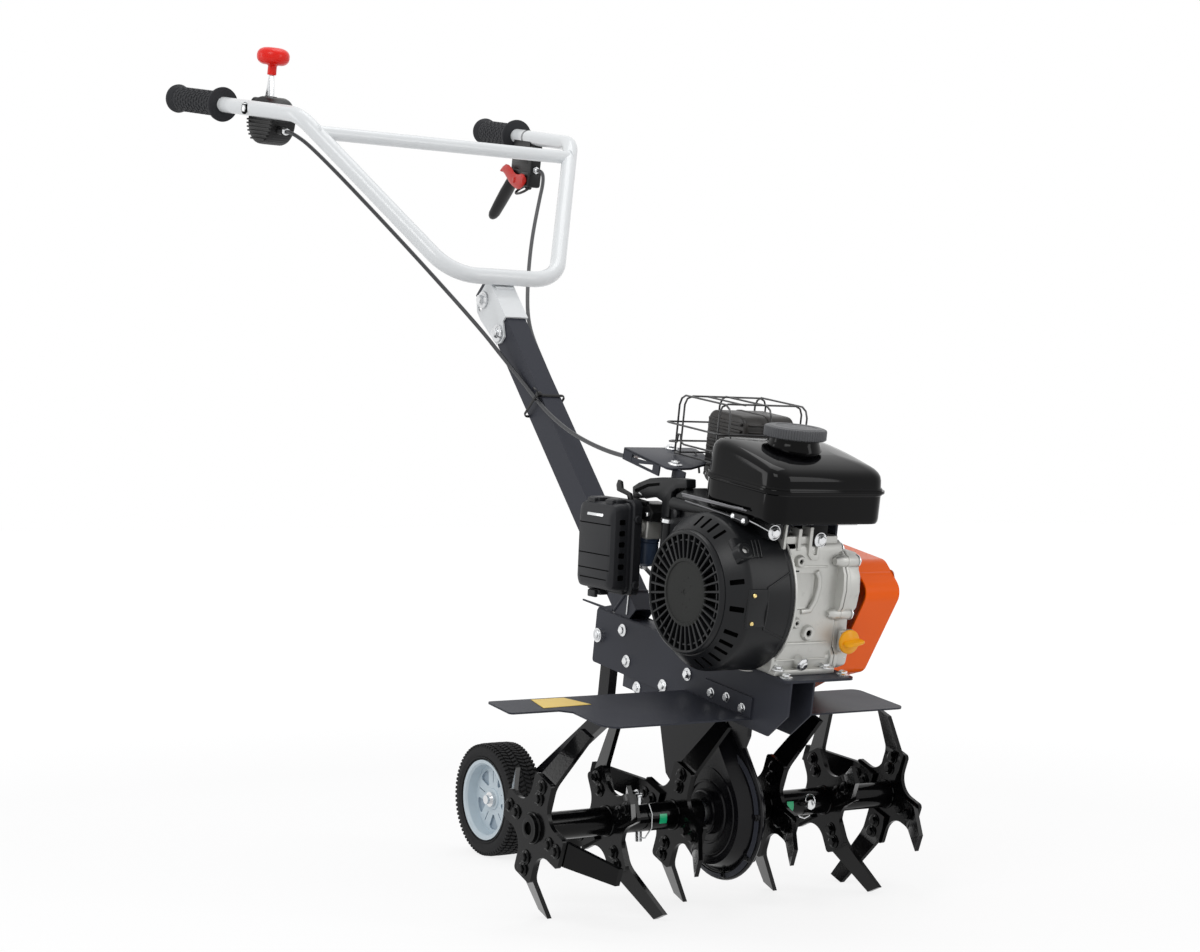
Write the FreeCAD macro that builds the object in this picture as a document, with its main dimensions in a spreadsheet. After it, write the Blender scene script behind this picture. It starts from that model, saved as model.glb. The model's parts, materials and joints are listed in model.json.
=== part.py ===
import FreeCAD, Part
import math
import os
import re

import Sketcher
from FreeCAD import Placement, Rotation, Vector

# Garden tiller with a petrol engine, a tined rotor, one transport wheel and a folding handlebar.
# Millimetres. X points forward, Y to the operator's left, Z up, and the floor is Z = 0.
# The machine is drawn level about the rotor's axis and then set down as it parks: the whole of it
# pitched nose down on the rotor and the wheel. Names of lengths along X, Y and Z in the level
# machine start at the rotor's axis.

# ---------------------------------------------------------------- driving dimensions

SIZES = {
    "how it parks": {
        "park_pitch": 10, "shaft_ahead": 399, "shaft_left": 3,
    },
    "side plates and deck": {
        "plate_inside": 15.1, "plate_thick": 2.5, "plate_rear": 272, "plate_front": 126,
        "plate_foot": 116, "plate_top": 185, "plate_nose": 147, "plate_chamfer": 32,
        "deck_thick": 3, "deck_rear": 108, "deck_right": 24, "deck_left": 76,
    },
    "fenders": {
        "fender_bottom": 127, "fender_thick": 2, "fender_reach": 216, "fender_front": 62,
        "fender_back": 30, "strip_back": 70, "tab_front": 18, "tab_reach": 292,
        "flange_rise": 26,
    },
    "column": {
        "column_lean": 41, "column_foot_back": 227, "column_foot_up": 205, "column_depth": 40,
        "column_width": 30, "column_wall": 2, "column_overlap": 30, "column_past": 23,
    },
    "chain case": {
        "case_radius": 80, "case_apex": 119, "case_half": 20, "carrier_thick": 6,
        "carrier_rear": 137, "dish_inset": 10, "dish_slope": 8, "boss_radius": 27,
        "boss_reach": 26, "seat_clearance": 0.05,
    },
    "rotor": {
        "tine_reach": 116.5, "rest_angle": 22.5, "shaft_radius": 12.5, "tube_radius": 16,
        "tube_start": 33, "tube_end": 267, "hub_thick": 5, "hub_reach": 62, "hub_arm": 36,
        "hub_hollow": 24, "tine_thick": 5, "tine_root": 30, "tine_tip": 21,
        "tine_bend": 32.5, "tine_bend_from": 58, "tine_bend_radius": 20, "tine_foot": 24,
        "inner_place": 67.7, "middle_place": 159, "outer_place": 258, "hitch_radius": 4,
        "hitch_place": 117, "hitch_half": 27,
    },
    "wheel": {
        "wheel_radius": 76, "wheel_width": 50, "rim_radius": 53.5, "rim_width": 48,
        "tyre_shoulder": 2.5, "rim_wall": 3, "rim_depth": 6, "disc_near": 8, "hub_half": 10,
        "wheel_back": 439, "wheel_right": 34, "wheel_hub_radius": 14, "axle_radius": 6,
        "axle_head": 4,
        "strut_width": 22, "strut_thick": 12, "strut_pin_back": 258, "strut_pin_up": 153,
        "strut_bend_up": 45, "strut_pin_radius": 5, "running_gap": 0.1, "axle_spacer": 17.5,
    },
    "handlebar": {
        "bar_radius": 11, "bar_wall": 2, "loop_past": 68.7, "loop_half": 83, "weld_gap": 0.15,
        "shoulder_back": 816, "shoulder_up": 767, "shoulder_half": 223, "arm_run": 330,
        "bar_end_up": 777, "bar_end_half": 265, "loop_bend": 62, "shoulder_bend": 55,
        "cross_radius": 9.5, "cross_back": 790, "cross_up": 745.5, "cross_half": 206,
        "bracket_wall": 2.4, "web_gap": 0.5, "ear_gap": 0.4, "pivot_along": 455.4, "pivot_off": -5.0,
        "bolt_spacing": 62, "bolt_radius": 4, "ear_margin": 14, "ear_low": 24, "tilt_range": 12,
        "head_radius": 8, "head_thick": 5.5, "nut_radius": 7.5, "nut_thick": 7, "washer_gap": 0.3,
    },
    "grips and controls": {
        "grip_length": 134, "grip_radius": 18, "grip_flange": 25, "grip_end_flange": 21,
        "grip_flange_thick": 6, "grip_gap": 0.1,
        "drum_radius": 34, "drum_thick": 40, "drum_before": 214.75, "drum_up": 756,
        "lever_length": 30, "lever_back": 11, "knob_width": 47, "knob_height": 26, "knob_neck": 6.5,
        "clutch_before": 162.28, "clutch_mount_length": 88, "clutch_drop": 62,
        "clutch_lever_back": 67, "clutch_lever_down": 62, "clutch_lever_width": 18,
        "claw_right": 18, "claw_thick": 6.9,
    },
    "engine": {
        "crank_ahead": 32, "crank_up": 272, "block_rear": 36, "block_front": 100,
        "block_right": 25, "block_left": 60, "block_top": 342, "cover_left": 87,
        "blower_radius": 90, "blower_face": 104, "blower_shoulder": 84, "duct_right": 68,
        "recoil_radius": 70, "recoil_face": 110,
        "tank_rear": 20, "tank_rear_round": 34, "tank_front": 128, "tank_right": 70, "tank_left": 91,
        "tank_bottom": 365, "tub_height": 37, "lid_height": 45, "tank_flange": 4,
        "tank_fall": 22, "tank_shoulder": 16, "tank_crease": 7, "tank_front_round": 20,
        "cap_radius": 36, "cap_ahead": 48, "cap_left": 12, "cap_height": 15, "neck_radius": 29,
        "neck_height": 3, "rack_rear": 10, "rack_front": 110, "rack_right": 30, "rack_left": 66,
        "rack_thick": 3, "leg_rear": 5, "leg_front": 90, "leg_right": 18, "leg_left": 52,
        "filter_rear": 194, "filter_front": 105, "filter_right": 112, "filter_left": 72,
        "filter_bottom": 233, "filter_top": 347, "filter_lean": 10, "filter_round": 10,
        "carburettor_rear": 152, "carburettor_front": 114, "carburettor_bottom": 300,
        "carburettor_top": 340, "bowl_radius": 15, "bowl_bottom": 264, "bowl_back": 134, "bowl_right": 50,
        "muffler_rear": 130, "muffler_front": 52, "muffler_right": 16, "muffler_left": 95,
        "muffler_bottom": 372, "muffler_top": 462, "muffler_round": 14, "pipe_radius": 14,
        "pipe_back": 92, "pipe_left": 38, "wire_radius": 1.6, "cage_over": 12, "cage_lift": 28,
        "cage_beside": 30, "cage_rear": 150, "cage_middle": 99, "cage_front": 47, "cage_bend": 10,
        "cage_rail_lift": 20,
        "control_rear": 185, "control_front": 50, "control_right": 62, "control_left": -12,
        "control_top": 399, "control_thick": 3, "control_lip": 376, "control_lip_front": 120,
        "guard_right": 97, "guard_left": 147, "guard_wall": 2, "guard_round": 18,
        "guard_boss_radius": 6, "input_back": 70, "input_up": 149, "input_radius": 8,
        "drive_radius": 28, "driven_radius": 31, "pulley_near": 4, "pulley_far": 20,
        "crank_end_radius": 10, "stick_left": 74, "stick_up": 226, "stick_neck": 9, "stick_head": 14,
        "barrel_rear": 150, "barrel_left": 52,
        "cable_radius": 2.75, "tie_back": 469, "tie_wide": 4.6, "tie_thick": 1.2,
    },
}

doc = FreeCAD.newDocument("garden_tiller")
sheet = doc.addObject("Spreadsheet::Sheet", "Sizes")
aliases = set()
row = 1
for section, values in SIZES.items():
    sheet.set("A%d" % row, section)
    row += 1
    for alias, value in values.items():
        sheet.set("A%d" % row, alias.replace("_", " "))
        sheet.set("B%d" % row, str(value))
        sheet.setAlias("B%d" % row, alias)
        aliases.add(alias)
        row += 1
doc.recompute()

made = {}
placed = set()


# ---------------------------------------------------------------- ways of making things

def cells(text):
    """An expression on the sheet's cells, from one that names them bare."""
    return re.sub(r"[a-z]\w*", lambda word: "Sizes." + word.group() if word.group() in aliases
                  else word.group(), str(text))


def size(text):
    """The number that such an expression gives."""
    return float(sheet.evalExpression(cells(text)))


def bind(thing, **texts):
    """Bind properties of an object to expressions; a double underscore stands for a dot."""
    for name, text in texts.items():
        thing.setExpression(name.replace("__", "."), cells(text))


def sketch(body, role, offset, corners):
    """A closed outline of straight sides in a body, with each corner bound to its two expressions."""
    plane = [f for f in body.Origin.OriginFeatures if f.Role == role][0]
    drawn = body.newObject("Sketcher::SketchObject", body.Name + "_sketch")
    drawn.AttachmentSupport = [(plane, "")]
    drawn.MapMode = "FlatFace"
    drawn.setExpression("AttachmentOffset.Base.z", cells(offset))
    spots = [(size(a), size(b)) for a, b in corners]
    for here, there in zip(spots, spots[1:] + spots[:1]):
        drawn.addGeometry(Part.LineSegment(Vector(*here, 0), Vector(*there, 0)), False)
    for i in range(len(spots)):
        drawn.addConstraint(Sketcher.Constraint("Coincident", i, 2, (i + 1) % len(spots), 1))
    for i, (texts, spot) in enumerate(zip(corners, spots)):
        for kind, text, value in zip(("DistanceX", "DistanceY"), texts, spot):
            index = drawn.addConstraint(Sketcher.Constraint(kind, -1, 1, i, 1, value))
            drawn.setExpression("Constraints[%d]" % index, cells(text))
    return drawn, spots


SIDES = {"side": ("XZ_Plane", "-({})", True), "top": ("XY_Plane", "{}", False),
         "front": ("YZ_Plane", "{}", False)}


def slab(name, view, corners, low, high, rounds=None):
    """A body padded from an outline seen from the side, top or front, between two planes.

    rounds gives the radius of the corners that are rounded, by their place in the outline."""
    role, offset, turned = SIDES[view]
    body = doc.addObject("PartDesign::Body", name)
    drawn, spots = sketch(body, role, offset.format(low), corners)
    pad = body.newObject("PartDesign::Pad", name + "_pad")
    pad.Profile = drawn
    pad.Reversed = turned
    pad.setExpression("Length", cells("(%s) - (%s)" % (high, low)))
    doc.recompute()
    last = pad
    for number, (radius, which) in enumerate(sorted((r, w) for r, w in (rounds or {}).items())):
        last = round_corners(body, last, name + "_round%d" % number, view,
                             [spots[i] for i in which], radius)
    return body


def round_corners(body, base, name, view, spots, radius):
    """Fillets on a pad's edges that stand on the given corners of its outline."""
    axis = {"side": (0, 2), "top": (0, 1), "front": (1, 2)}[view]
    names = []
    for i, edge in enumerate(base.Shape.Edges):
        ends = [v.Point for v in edge.Vertexes]
        flat = [(p[axis[0]], p[axis[1]]) for p in ends]
        if len(ends) == 2 and math.dist(*flat) < 1e-6:
            if any(math.dist(flat[0], spot) < 1e-3 for spot in spots):
                names.append("Edge%d" % (i + 1))
    fillet = body.newObject("PartDesign::Fillet", name)
    fillet.Base = (base, names)
    fillet.setExpression("Radius", cells(radius))
    doc.recompute()
    return fillet


def turned(name, profile, at=None):
    """A body turned about its own Y axis from an outline of (radius, y) corners."""
    body = doc.addObject("PartDesign::Body", name)
    drawn, _ = sketch(body, "XY_Plane", "0", profile)
    spun = body.newObject("PartDesign::Revolution", name + "_turn")
    spun.Profile = drawn
    spun.ReferenceAxis = (drawn, ["V_Axis"])
    spun.Angle = 360
    if at:
        bind(body, Placement__Base__x=at[0], Placement__Base__z=at[1])
        placed.add(name)
    return body


def box(name, x, y, z):
    """A box between pairs of expressions along X, Y and Z."""
    made_box = doc.addObject("Part::Box", name)
    for prop, key, (low, high) in zip(("Length", "Width", "Height"), "xyz", (x, y, z)):
        made_box.setExpression(prop, cells("(%s) - (%s)" % (high, low)))
        made_box.setExpression("Placement.Base." + key, cells(low))
    return made_box


AXES = {"x": (Rotation(Vector(0, 1, 0), 90), "xyz"), "y": (Rotation(Vector(1, 0, 0), -90), "yxz"),
        "z": (Rotation(), "zxy")}


def rod(name, axis, radius, low, high, at=("0", "0")):
    """A cylinder along an axis between two expressions, centred at the other two coordinates."""
    turn, order = AXES[axis]
    bar = doc.addObject("Part::Cylinder", name)
    bar.Placement = Placement(Vector(), turn)
    bind(bar, Radius=radius, Height="(%s) - (%s)" % (high, low))
    for key, text in zip(order, (low,) + tuple(at)):
        bar.setExpression("Placement.Base." + key, cells(text))
    return bar


def fuse(name, *things):
    """The union of several objects."""
    union = doc.addObject("Part::MultiFuse", name)
    union.Shapes = list(things)
    return union


def cut(name, base, *tools):
    """An object less others."""
    rest = doc.addObject("Part::Cut", name)
    rest.Base = base
    rest.Tool = tools[0] if len(tools) == 1 else fuse(name + "_tools", *tools)
    return rest


def shaped(name, shape):
    """An object that holds a shape made by Part's own functions."""
    feature = doc.addObject("Part::Feature", name)
    feature.Shape = shape
    return feature


def group(name, *things):
    """Objects kept together as separate solids."""
    compound = doc.addObject("Part::Compound", name)
    compound.Links = list(things)
    return compound


TIP_OUT = "sqrt(tine_reach ^ 2 - (tine_tip / 2) ^ 2)"
SHAFT_UP = TIP_OUT + " * cos(rest_angle) + tine_tip / 2 * sin(rest_angle)"
PARKED = {"x": "shaft_ahead", "y": "shaft_left", "z": SHAFT_UP}


def park(thing, label, pitched=True):
    """Name a sub-part, drawn about the rotor's axis, and set it down as the machine parks."""
    base = thing
    if thing.TypeId in ("Part::Box", "Part::Cylinder") or thing.Name in placed:
        base = group(label + "_set", thing)
    base.Label = label
    base.Placement = Placement(Vector(), Rotation(Vector(0, 1, 0), 1))
    for key, text in PARKED.items():
        base.setExpression("Placement.Base." + key, cells(text))
    base.setExpression("Placement.Rotation.Angle", cells("park_pitch" if pitched else "0"))
    made[label] = base
    return base


def path(points, radii):
    """A wire of straight runs joined by tangent arcs, through points with a radius at each bend."""
    edges = []
    start = points[0]
    for before, corner, after, radius in zip(points, points[1:], points[2:], radii):
        back, on = (before - corner).normalize(), (after - corner).normalize()
        half = back.getAngle(on) / 2
        reach = radius / math.tan(half)
        middle = corner + (back + on).normalize() * (radius / math.sin(half) - radius)
        edges.append(Part.LineSegment(start, corner + back * reach).toShape())
        edges.append(Part.Arc(corner + back * reach, middle, corner + on * reach).toShape())
        start = corner + on * reach
    edges.append(Part.LineSegment(start, points[-1]).toShape())
    return Part.Wire(edges)


def swept(name, wire, radius):
    """A round bar along a wire."""
    spine = shaped(name + "_path", wire)
    ring = doc.addObject("Part::Circle", name + "_section")
    edge = wire.Edges[0]
    ring.Placement = Placement(edge.valueAt(edge.FirstParameter),
                               Rotation(Vector(0, 0, 1), edge.tangentAt(edge.FirstParameter)))
    ring.setExpression("Radius", cells(radius))
    bar = doc.addObject("Part::Sweep", name)
    bar.Sections = [ring]
    bar.Spine = (spine, [])
    bar.Solid = True
    bar.Frenet = False
    return bar


def put(thing, at, turn=None):
    """Place a thing at a point of the level machine, turned or not."""
    thing.Placement = Placement(at, turn or Rotation())
    placed.add(thing.Name)
    return thing


# ---------------------------------------------------------------- side plates, deck and fenders

PLATE = [("-plate_rear", "plate_top"), ("-plate_rear", "plate_foot"), ("plate_front - plate_chamfer", "plate_foot"),
         ("plate_front", "plate_nose"), ("plate_front", "plate_top")]


def side_plates():
    for hand, low, high in (("right", "-plate_inside - plate_thick", "-plate_inside"),
                            ("left", "plate_inside", "plate_inside + plate_thick")):
        plate = slab("plate_" + hand, "side", PLATE, low, high, {"4": (0, 1)})
        pin = rod("plate_pin_" + hand, "y", "strut_pin_radius + 0.3", low + " - 1", high + " + 1",
                  ("-strut_pin_back", "strut_pin_up"))
        holes = [pin]
        if hand == "left":
            holes.append(rod("plate_shaft_hole", "y", "input_radius + 1", low + " - 1", high + " + 1",
                             ("-input_back", "input_up")))
        park(cut("plate_drilled_" + hand, plate, *holes), "side_plate_" + hand)
    park(slab("deck", "top", [("-deck_rear", "-deck_right"), ("plate_front", "-deck_right"),
                              ("plate_front", "deck_left"), ("-deck_rear", "deck_left")],
              "plate_top", "plate_top + deck_thick", {"8": (1, 2)}), "engine_deck")


def fenders():
    outside = "plate_inside + plate_thick"
    right = [("fender_front", "-({})".format(outside)), ("-strip_back", "-({})".format(outside)),
             ("-strip_back", "-tab_reach"), ("-tab_front", "-tab_reach"),
             ("-tab_front", "-fender_reach - 12"), ("-tab_front + 10", "-fender_reach"),
             ("fender_front", "-fender_reach")]
    left = [("-fender_back", outside), ("fender_front", outside), ("fender_front", "fender_reach"),
            ("-fender_back", "fender_reach")]
    for hand, corners, rounds, low, high in (
            ("right", right, {"5": (2, 3), "20": (6,)}, "-({}) - fender_thick", "-({})"),
            ("left", left, {"12": (2, 3)}, "{}", "{} + fender_thick")):
        sheet_metal = slab("fender_sheet_" + hand, "top", corners, "fender_bottom",
                           "fender_bottom + fender_thick", rounds)
        flange = box("fender_flange_" + hand, ("-fender_back", "fender_front"),
                     (low.format(outside), high.format(outside)),
                     ("fender_bottom", "fender_bottom + flange_rise"))
        park(fuse("fender_" + hand + "_bent", sheet_metal, flange), "fender_" + hand)


# ---------------------------------------------------------------- column

def along_column(along, off, side="0"):
    """A point by its distance up the column from its foot, off its upper face side, and to the left."""
    lean = math.radians(size("column_lean"))
    up = Vector(-math.cos(lean), 0, math.sin(lean))
    out = Vector(math.sin(lean), 0, math.cos(lean))
    foot = Vector(-size("column_foot_back"), 0, size("column_foot_up"))
    return foot + up * size(along) + out * size(off) + Vector(0, size(side), 0)


def column_frame():
    """The column's foot, and the turn that takes X up the column and Z out of its upper side."""
    lean = math.radians(size("column_lean"))
    up = Vector(-math.cos(lean), 0, math.sin(lean))
    out = Vector(math.sin(lean), 0, math.cos(lean))
    return along_column("0", "0"), Rotation(up, Vector(0, -1, 0), out, "ZXY")


def bolt_places():
    """The handlebar's pivot bolt and the bolt in its slot, in the column's frame."""
    along, off = size("pivot_along"), size("pivot_off")
    return [Vector(along, -30, off), Vector(along + size("bolt_spacing"), -30, off)]


def column():
    top = "pivot_along + bolt_spacing + column_past"
    outer = box("column_outer", ("-column_overlap", top), ("-column_width / 2", "column_width / 2"),
                ("-column_depth / 2", "column_depth / 2"))
    inner = box("column_bore", ("-column_overlap - 1", top + " + 1"),
                ("-column_width / 2 + column_wall", "column_width / 2 - column_wall"),
                ("-column_depth / 2 + column_wall", "column_depth / 2 - column_wall"))
    tube = cut("column_tube", outer, inner)
    holes = [rod("column_hole_%d" % i, "y", "bolt_radius + seat_clearance", "-30", "30",
                 (str(place.x), str(place.z))) for i, place in enumerate(bolt_places())]
    park(put(cut("column_drilled", tube, *holes), *column_frame()), "column")


# ---------------------------------------------------------------- chain case

def teardrop(radius, apex, inset=0.0):
    """A circle about the rotor's axis with two tangents that meet above it, as a face in XZ."""
    radius, apex = radius - inset, apex - inset * apex / radius
    half = math.asin(radius / apex)
    touch = Vector(radius * math.cos(half), 0, radius * math.sin(half))
    other = Vector(-touch.x, 0, touch.z)
    tip = Vector(0, 0, apex)
    bottom = Vector(0, 0, -radius)
    return Part.Face(Part.Wire([Part.LineSegment(tip, touch).toShape(),
                                Part.Arc(touch, bottom, other).toShape(),
                                Part.LineSegment(other, tip).toShape()]))


# The carrier's outline between the side plates, from its top rear corner down round the shaft.
CARRIER = [("-carrier_rear", "plate_top"), ("-carrier_rear", "plate_foot - 36"),
           ("-carrier_rear + 26", "14"), ("-40", "-30"), ("0", "0"), ("40", "plate_foot - 16"),
           ("40", "plate_top")]


def chain_case():
    thick = size("carrier_thick") / 2
    flange = teardrop(size("case_radius"), size("case_apex")).extrude(Vector(0, 2 * thick, 0))
    flange.translate(Vector(0, -thick, 0))
    plate = slab("carrier_plate", "side", CARRIER, "-carrier_thick / 2", "carrier_thick / 2")
    hole = rod("carrier_hole", "y", "shaft_radius + 1", "-carrier_thick", "carrier_thick")
    park(cut("carrier", fuse("carrier_outline", plate, shaped("case_flange", flange)), hole),
         "case_carrier")
    for hand, side in (("right", -1), ("left", 1)):
        foot = teardrop(size("case_radius"), size("case_apex"), size("dish_inset"))
        face = teardrop(size("case_radius"), size("case_apex"), size("dish_inset + dish_slope"))
        half = size("case_half")
        foot.translate(Vector(0, side * thick, 0))
        face.translate(Vector(0, side * half, 0))
        dish = Part.makeLoft([foot.OuterWire, face.OuterWire], True, True)
        boss = rod("case_boss_" + hand, "y", "boss_radius", "case_half - 1", "boss_reach")
        if side < 0:
            boss.Placement.Rotation = Rotation(Vector(1, 0, 0), 90)
            boss.setExpression("Placement.Base.y", cells("-(case_half - 1)"))
        bore = rod("case_bore_" + hand, "y", "shaft_radius + seat_clearance", "-60", "60")
        park(cut("case_dish_" + hand, fuse("case_shell_" + hand, shaped("dish_" + hand, dish), boss),
                 bore), "case_dish_" + hand)


# ---------------------------------------------------------------- rotor

def tine(side):
    """One tine along +X: a flat bar bent out of its plane towards +Y or -Y, narrowed to its tip."""
    thick, reach = size("tine_thick"), size(TIP_OUT)
    seat = side * (size("hub_thick") + thick) / 2
    bend = math.radians(size("tine_bend"))
    start = Vector(size("tine_foot"), seat, 0)
    corner = Vector(size("tine_bend_from"), seat, 0)
    rest = (reach - corner.x) / math.cos(bend) + thick
    tip = corner + Vector(math.cos(bend), side * math.sin(bend), 0) * rest
    inner = size("tine_bend_radius")
    across = Vector(0, thick / 2, 0)
    slope = Vector(-side * math.sin(bend), math.cos(bend), 0) * (thick / 2)

    def corner_point(offset):
        """Where the two straight faces on one side of the bar meet."""
        return corner + Vector(-offset * math.tan(bend / 2) * side, offset, 0)

    lower = path([start - across, corner_point(-thick / 2), tip - slope],
                 [inner + (thick if side < 0 else 0)])
    upper = path([start + across, corner_point(thick / 2), tip + slope],
                 [inner + (thick if side > 0 else 0)])
    ends = [Part.LineSegment(tip - slope, tip + slope).toShape(),
            Part.LineSegment(start - across, start + across).toShape()]
    strip = Part.Face(Part.Wire(Part.__sortEdges__(lower.Edges + upper.Edges + ends)))
    root, point = size("tine_root") / 2, size("tine_tip") / 2
    bar = strip.extrude(Vector(0, 0, 2 * root))
    bar.translate(Vector(0, 0, -root))
    narrow = Part.Face(Part.makePolygon([Vector(0, 0, -root), Vector(corner.x, 0, -root),
                                         Vector(reach, 0, -point), Vector(reach, 0, point),
                                         Vector(corner.x, 0, root), Vector(0, 0, root),
                                         Vector(0, 0, -root)]))
    mask = narrow.extrude(Vector(0, 200, 0))
    mask.translate(Vector(0, -100, 0))
    return bar.common(mask)


def hub_plate(name):
    """A cross of four arms whose inner corners are filled to hollow curves, bored for the tube."""
    arm, reach = "hub_arm / 2", "hub_reach"
    corners = [(arm, arm), (arm, reach), ("-" + arm, reach), ("-" + arm, arm), ("-" + reach, arm),
               ("-" + reach, "-" + arm), ("-" + arm, "-" + arm), ("-" + arm, "-" + reach),
               (arm, "-" + reach), (arm, "-" + arm), (reach, "-" + arm), (reach, arm)]
    plate = slab(name, "side", corners, "-hub_thick / 2", "hub_thick / 2",
                 {"hub_hollow": (0, 3, 6, 9), "5": (1, 2, 4, 5, 7, 8, 10, 11)})
    bore = rod(name + "_bore", "y", "tube_radius", "-hub_thick", "hub_thick")
    return cut(name + "_bored", plate, bore)


# Each ring of tines: its place along the shaft, its turn about the shaft, and which way its
# four tines bend, where 1 is to the left.
RINGS = [("inner", 1, "inner_place", 67.5, (1, -1, 1, -1)),
         ("middle", 1, "middle_place", 22.5, (-1, 1, -1, 1)),
         ("outer", 1, "outer_place", 67.5, (-1, -1, -1, -1)),
         ("inner", -1, "inner_place", 67.5, (1, -1, 1, -1)),
         ("middle", -1, "middle_place", 22.5, (-1, 1, -1, 1)),
         ("outer", -1, "outer_place", 67.5, (1, 1, 1, 1))]


def rotor():
    for ring, side, place, phase, bends in RINGS:
        name = "tines_%s_%s" % (ring, "left" if side > 0 else "right")
        blades = []
        for quarter, bend in enumerate(bends):
            blade = shaped("%s_%d" % (name, quarter), tine(bend))
            blade.Placement = Placement(Vector(), Rotation(Vector(0, 1, 0), -90 * quarter))
            blades.append(blade)
        whole = fuse(name + "_welded", hub_plate(name + "_hub"), *blades)
        park(put(whole, Vector(0, side * size(place), 0), Rotation(Vector(0, 1, 0), -phase)), name,
             pitched=False)
    pins, holes = [], []
    for hand, side in (("right", -1), ("left", 1)):
        low, high = ("tube_start", "tube_end") if side > 0 else ("-tube_end", "-tube_start")
        outer = rod("tube_outer_" + hand, "y", "tube_radius", low, high)
        inner = rod("tube_inner_" + hand, "y", "shaft_radius", low + " - 1", high + " + 1")
        place = "%s * hitch_place" % side
        axis, at = ("z", ("0", place)) if side < 0 else ("x", (place, "0"))
        pins.append(rod("hitch_pin_" + hand, axis, "hitch_radius", "-hitch_half", "hitch_half", at))
        holes.append(rod("hitch_hole_" + hand, axis, "hitch_radius + seat_clearance", "-40", "40", at))
        park(cut("tube_" + hand, outer, inner, holes[-1]), "tine_tube_" + hand, pitched=False)
    shaft = rod("shaft", "y", "shaft_radius", "-tube_end + 12", "tube_end - 12")
    park(cut("shaft_drilled", shaft, *holes), "output_shaft", pitched=False)
    park(group("hitch_pin_pair", *pins), "hitch_pins", pitched=False)


# ---------------------------------------------------------------- transport wheel and its strut

def wheel_axle_up():
    """The axle's height over the rotor's axis in the level machine, where the tyre meets the floor."""
    pitch = math.radians(size("park_pitch"))
    above = size("wheel_radius") - size(SHAFT_UP)
    return (above - size("wheel_back") * math.sin(pitch)) / math.cos(pitch)


def transport_wheel():
    axle = Vector(-size("wheel_back"), 0, wheel_axle_up())
    half = "wheel_width / 2"
    tyre = turned("tyre_turned", [("rim_radius", "-rim_width / 2"), ("rim_radius", "rim_width / 2"),
                                  ("wheel_radius - 9", half), ("wheel_radius - 3", half),
                                  ("wheel_radius", half + " - tyre_shoulder"),
                                  ("wheel_radius", "tyre_shoulder - " + half),
                                  ("wheel_radius - 3", "-" + half), ("wheel_radius - 9", "-" + half)])
    bore, hub, lip, wall = ("axle_radius + 0.3", "wheel_hub_radius", "rim_radius - rim_wall",
                            "rim_radius - rim_depth")
    edge = "rim_width / 2"
    rim = turned("rim_turned", [(bore, "-hub_half"), (hub, "-hub_half"), (hub, "-disc_near"),
                                (wall, "-disc_near"), (lip, "-" + edge), ("rim_radius", "-" + edge),
                                ("rim_radius", edge), (lip, edge), (wall, "0"), (hub, "0"),
                                (hub, "hub_half"), (bore, "hub_half")])
    place = axle + Vector(0, -size("wheel_right"), 0)
    for thing, label in ((tyre, "tyre"), (rim, "rim")):
        park(put(thing, place), label)
    bolt = doc.addObject("Part::Cylinder", "axle_bolt")
    bind(bolt, Radius="axle_radius", Height="wheel_right + hub_half + axle_head")
    sleeve = doc.addObject("Part::Cylinder", "axle_sleeve")
    bind(sleeve, Radius="axle_radius + 4", Height="axle_spacer")
    for thing in (bolt, sleeve):
        thing.Placement = Placement(axle + Vector(0, -size("strut_thick / 2"), 0),
                                    Rotation(Vector(1, 0, 0), 90))
    head = doc.addObject("Part::Cylinder", "axle_head")
    bind(head, Radius="axle_radius + 4", Height="axle_head")
    head.Placement = Placement(axle + Vector(0, -size("wheel_right + hub_half"), 0),
                               Rotation(Vector(1, 0, 0), 90))
    park(fuse("axle_whole", bolt, sleeve, head), "wheel_axle")
    strut(axle)


def strut(axle):
    pin = Vector(-size("strut_pin_back"), 0, size("strut_pin_up"))
    bend = Vector(pin.x, 0, size("strut_bend_up"))
    half = size("strut_width") / 2
    points = [pin, bend, axle]
    bars = []
    thick = size("strut_thick")
    for here, there in zip(points, points[1:]):
        run = there - here
        across = Vector(run.z, 0, -run.x).normalize() * half
        face = Part.Face(Part.makePolygon([here + across, there + across, there - across,
                                           here - across, here + across]))
        bars.append(face)
    solids = []
    for face in bars:
        solids.append(face.extrude(Vector(0, thick, 0)))
    for point in points:
        solids.append(Part.makeCylinder(half, thick, point, Vector(0, 1, 0)))
    whole = solids[0].multiFuse(solids[1:]).removeSplitter()
    whole.translate(Vector(0, -thick / 2, 0))
    hole = rod("strut_hole", "y", "strut_pin_radius + running_gap", "-strut_thick", "strut_thick",
               ("-strut_pin_back", "strut_pin_up"))
    park(cut("strut_drilled", shaped("strut_bar", whole), hole), "wheel_strut")
    outside = "plate_inside + plate_thick"
    body = rod("pin_body", "y", "strut_pin_radius", "-({}) - 3".format(outside), outside + " + 3",
               ("-strut_pin_back", "strut_pin_up"))
    head = rod("pin_head", "y", "strut_pin_radius + 4", "-({}) - 6".format(outside),
               "-({})".format(outside), ("-strut_pin_back", "strut_pin_up"))
    nut = rod("pin_nut", "y", "strut_pin_radius + 4", outside, outside + " + 5",
              ("-strut_pin_back", "strut_pin_up"))
    sleeves = [rod("pin_sleeve_%s" % hand, "y", "strut_pin_radius + 3", low, high,
                   ("-strut_pin_back", "strut_pin_up"))
               for hand, low, high in (("right", "-plate_inside", "-strut_thick / 2 - 0.3"),
                                       ("left", "strut_thick / 2 + 0.3", "plate_inside"))]
    park(fuse("pin_whole", body, head, nut, *sleeves), "strut_pin")


# ---------------------------------------------------------------- handlebar

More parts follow.
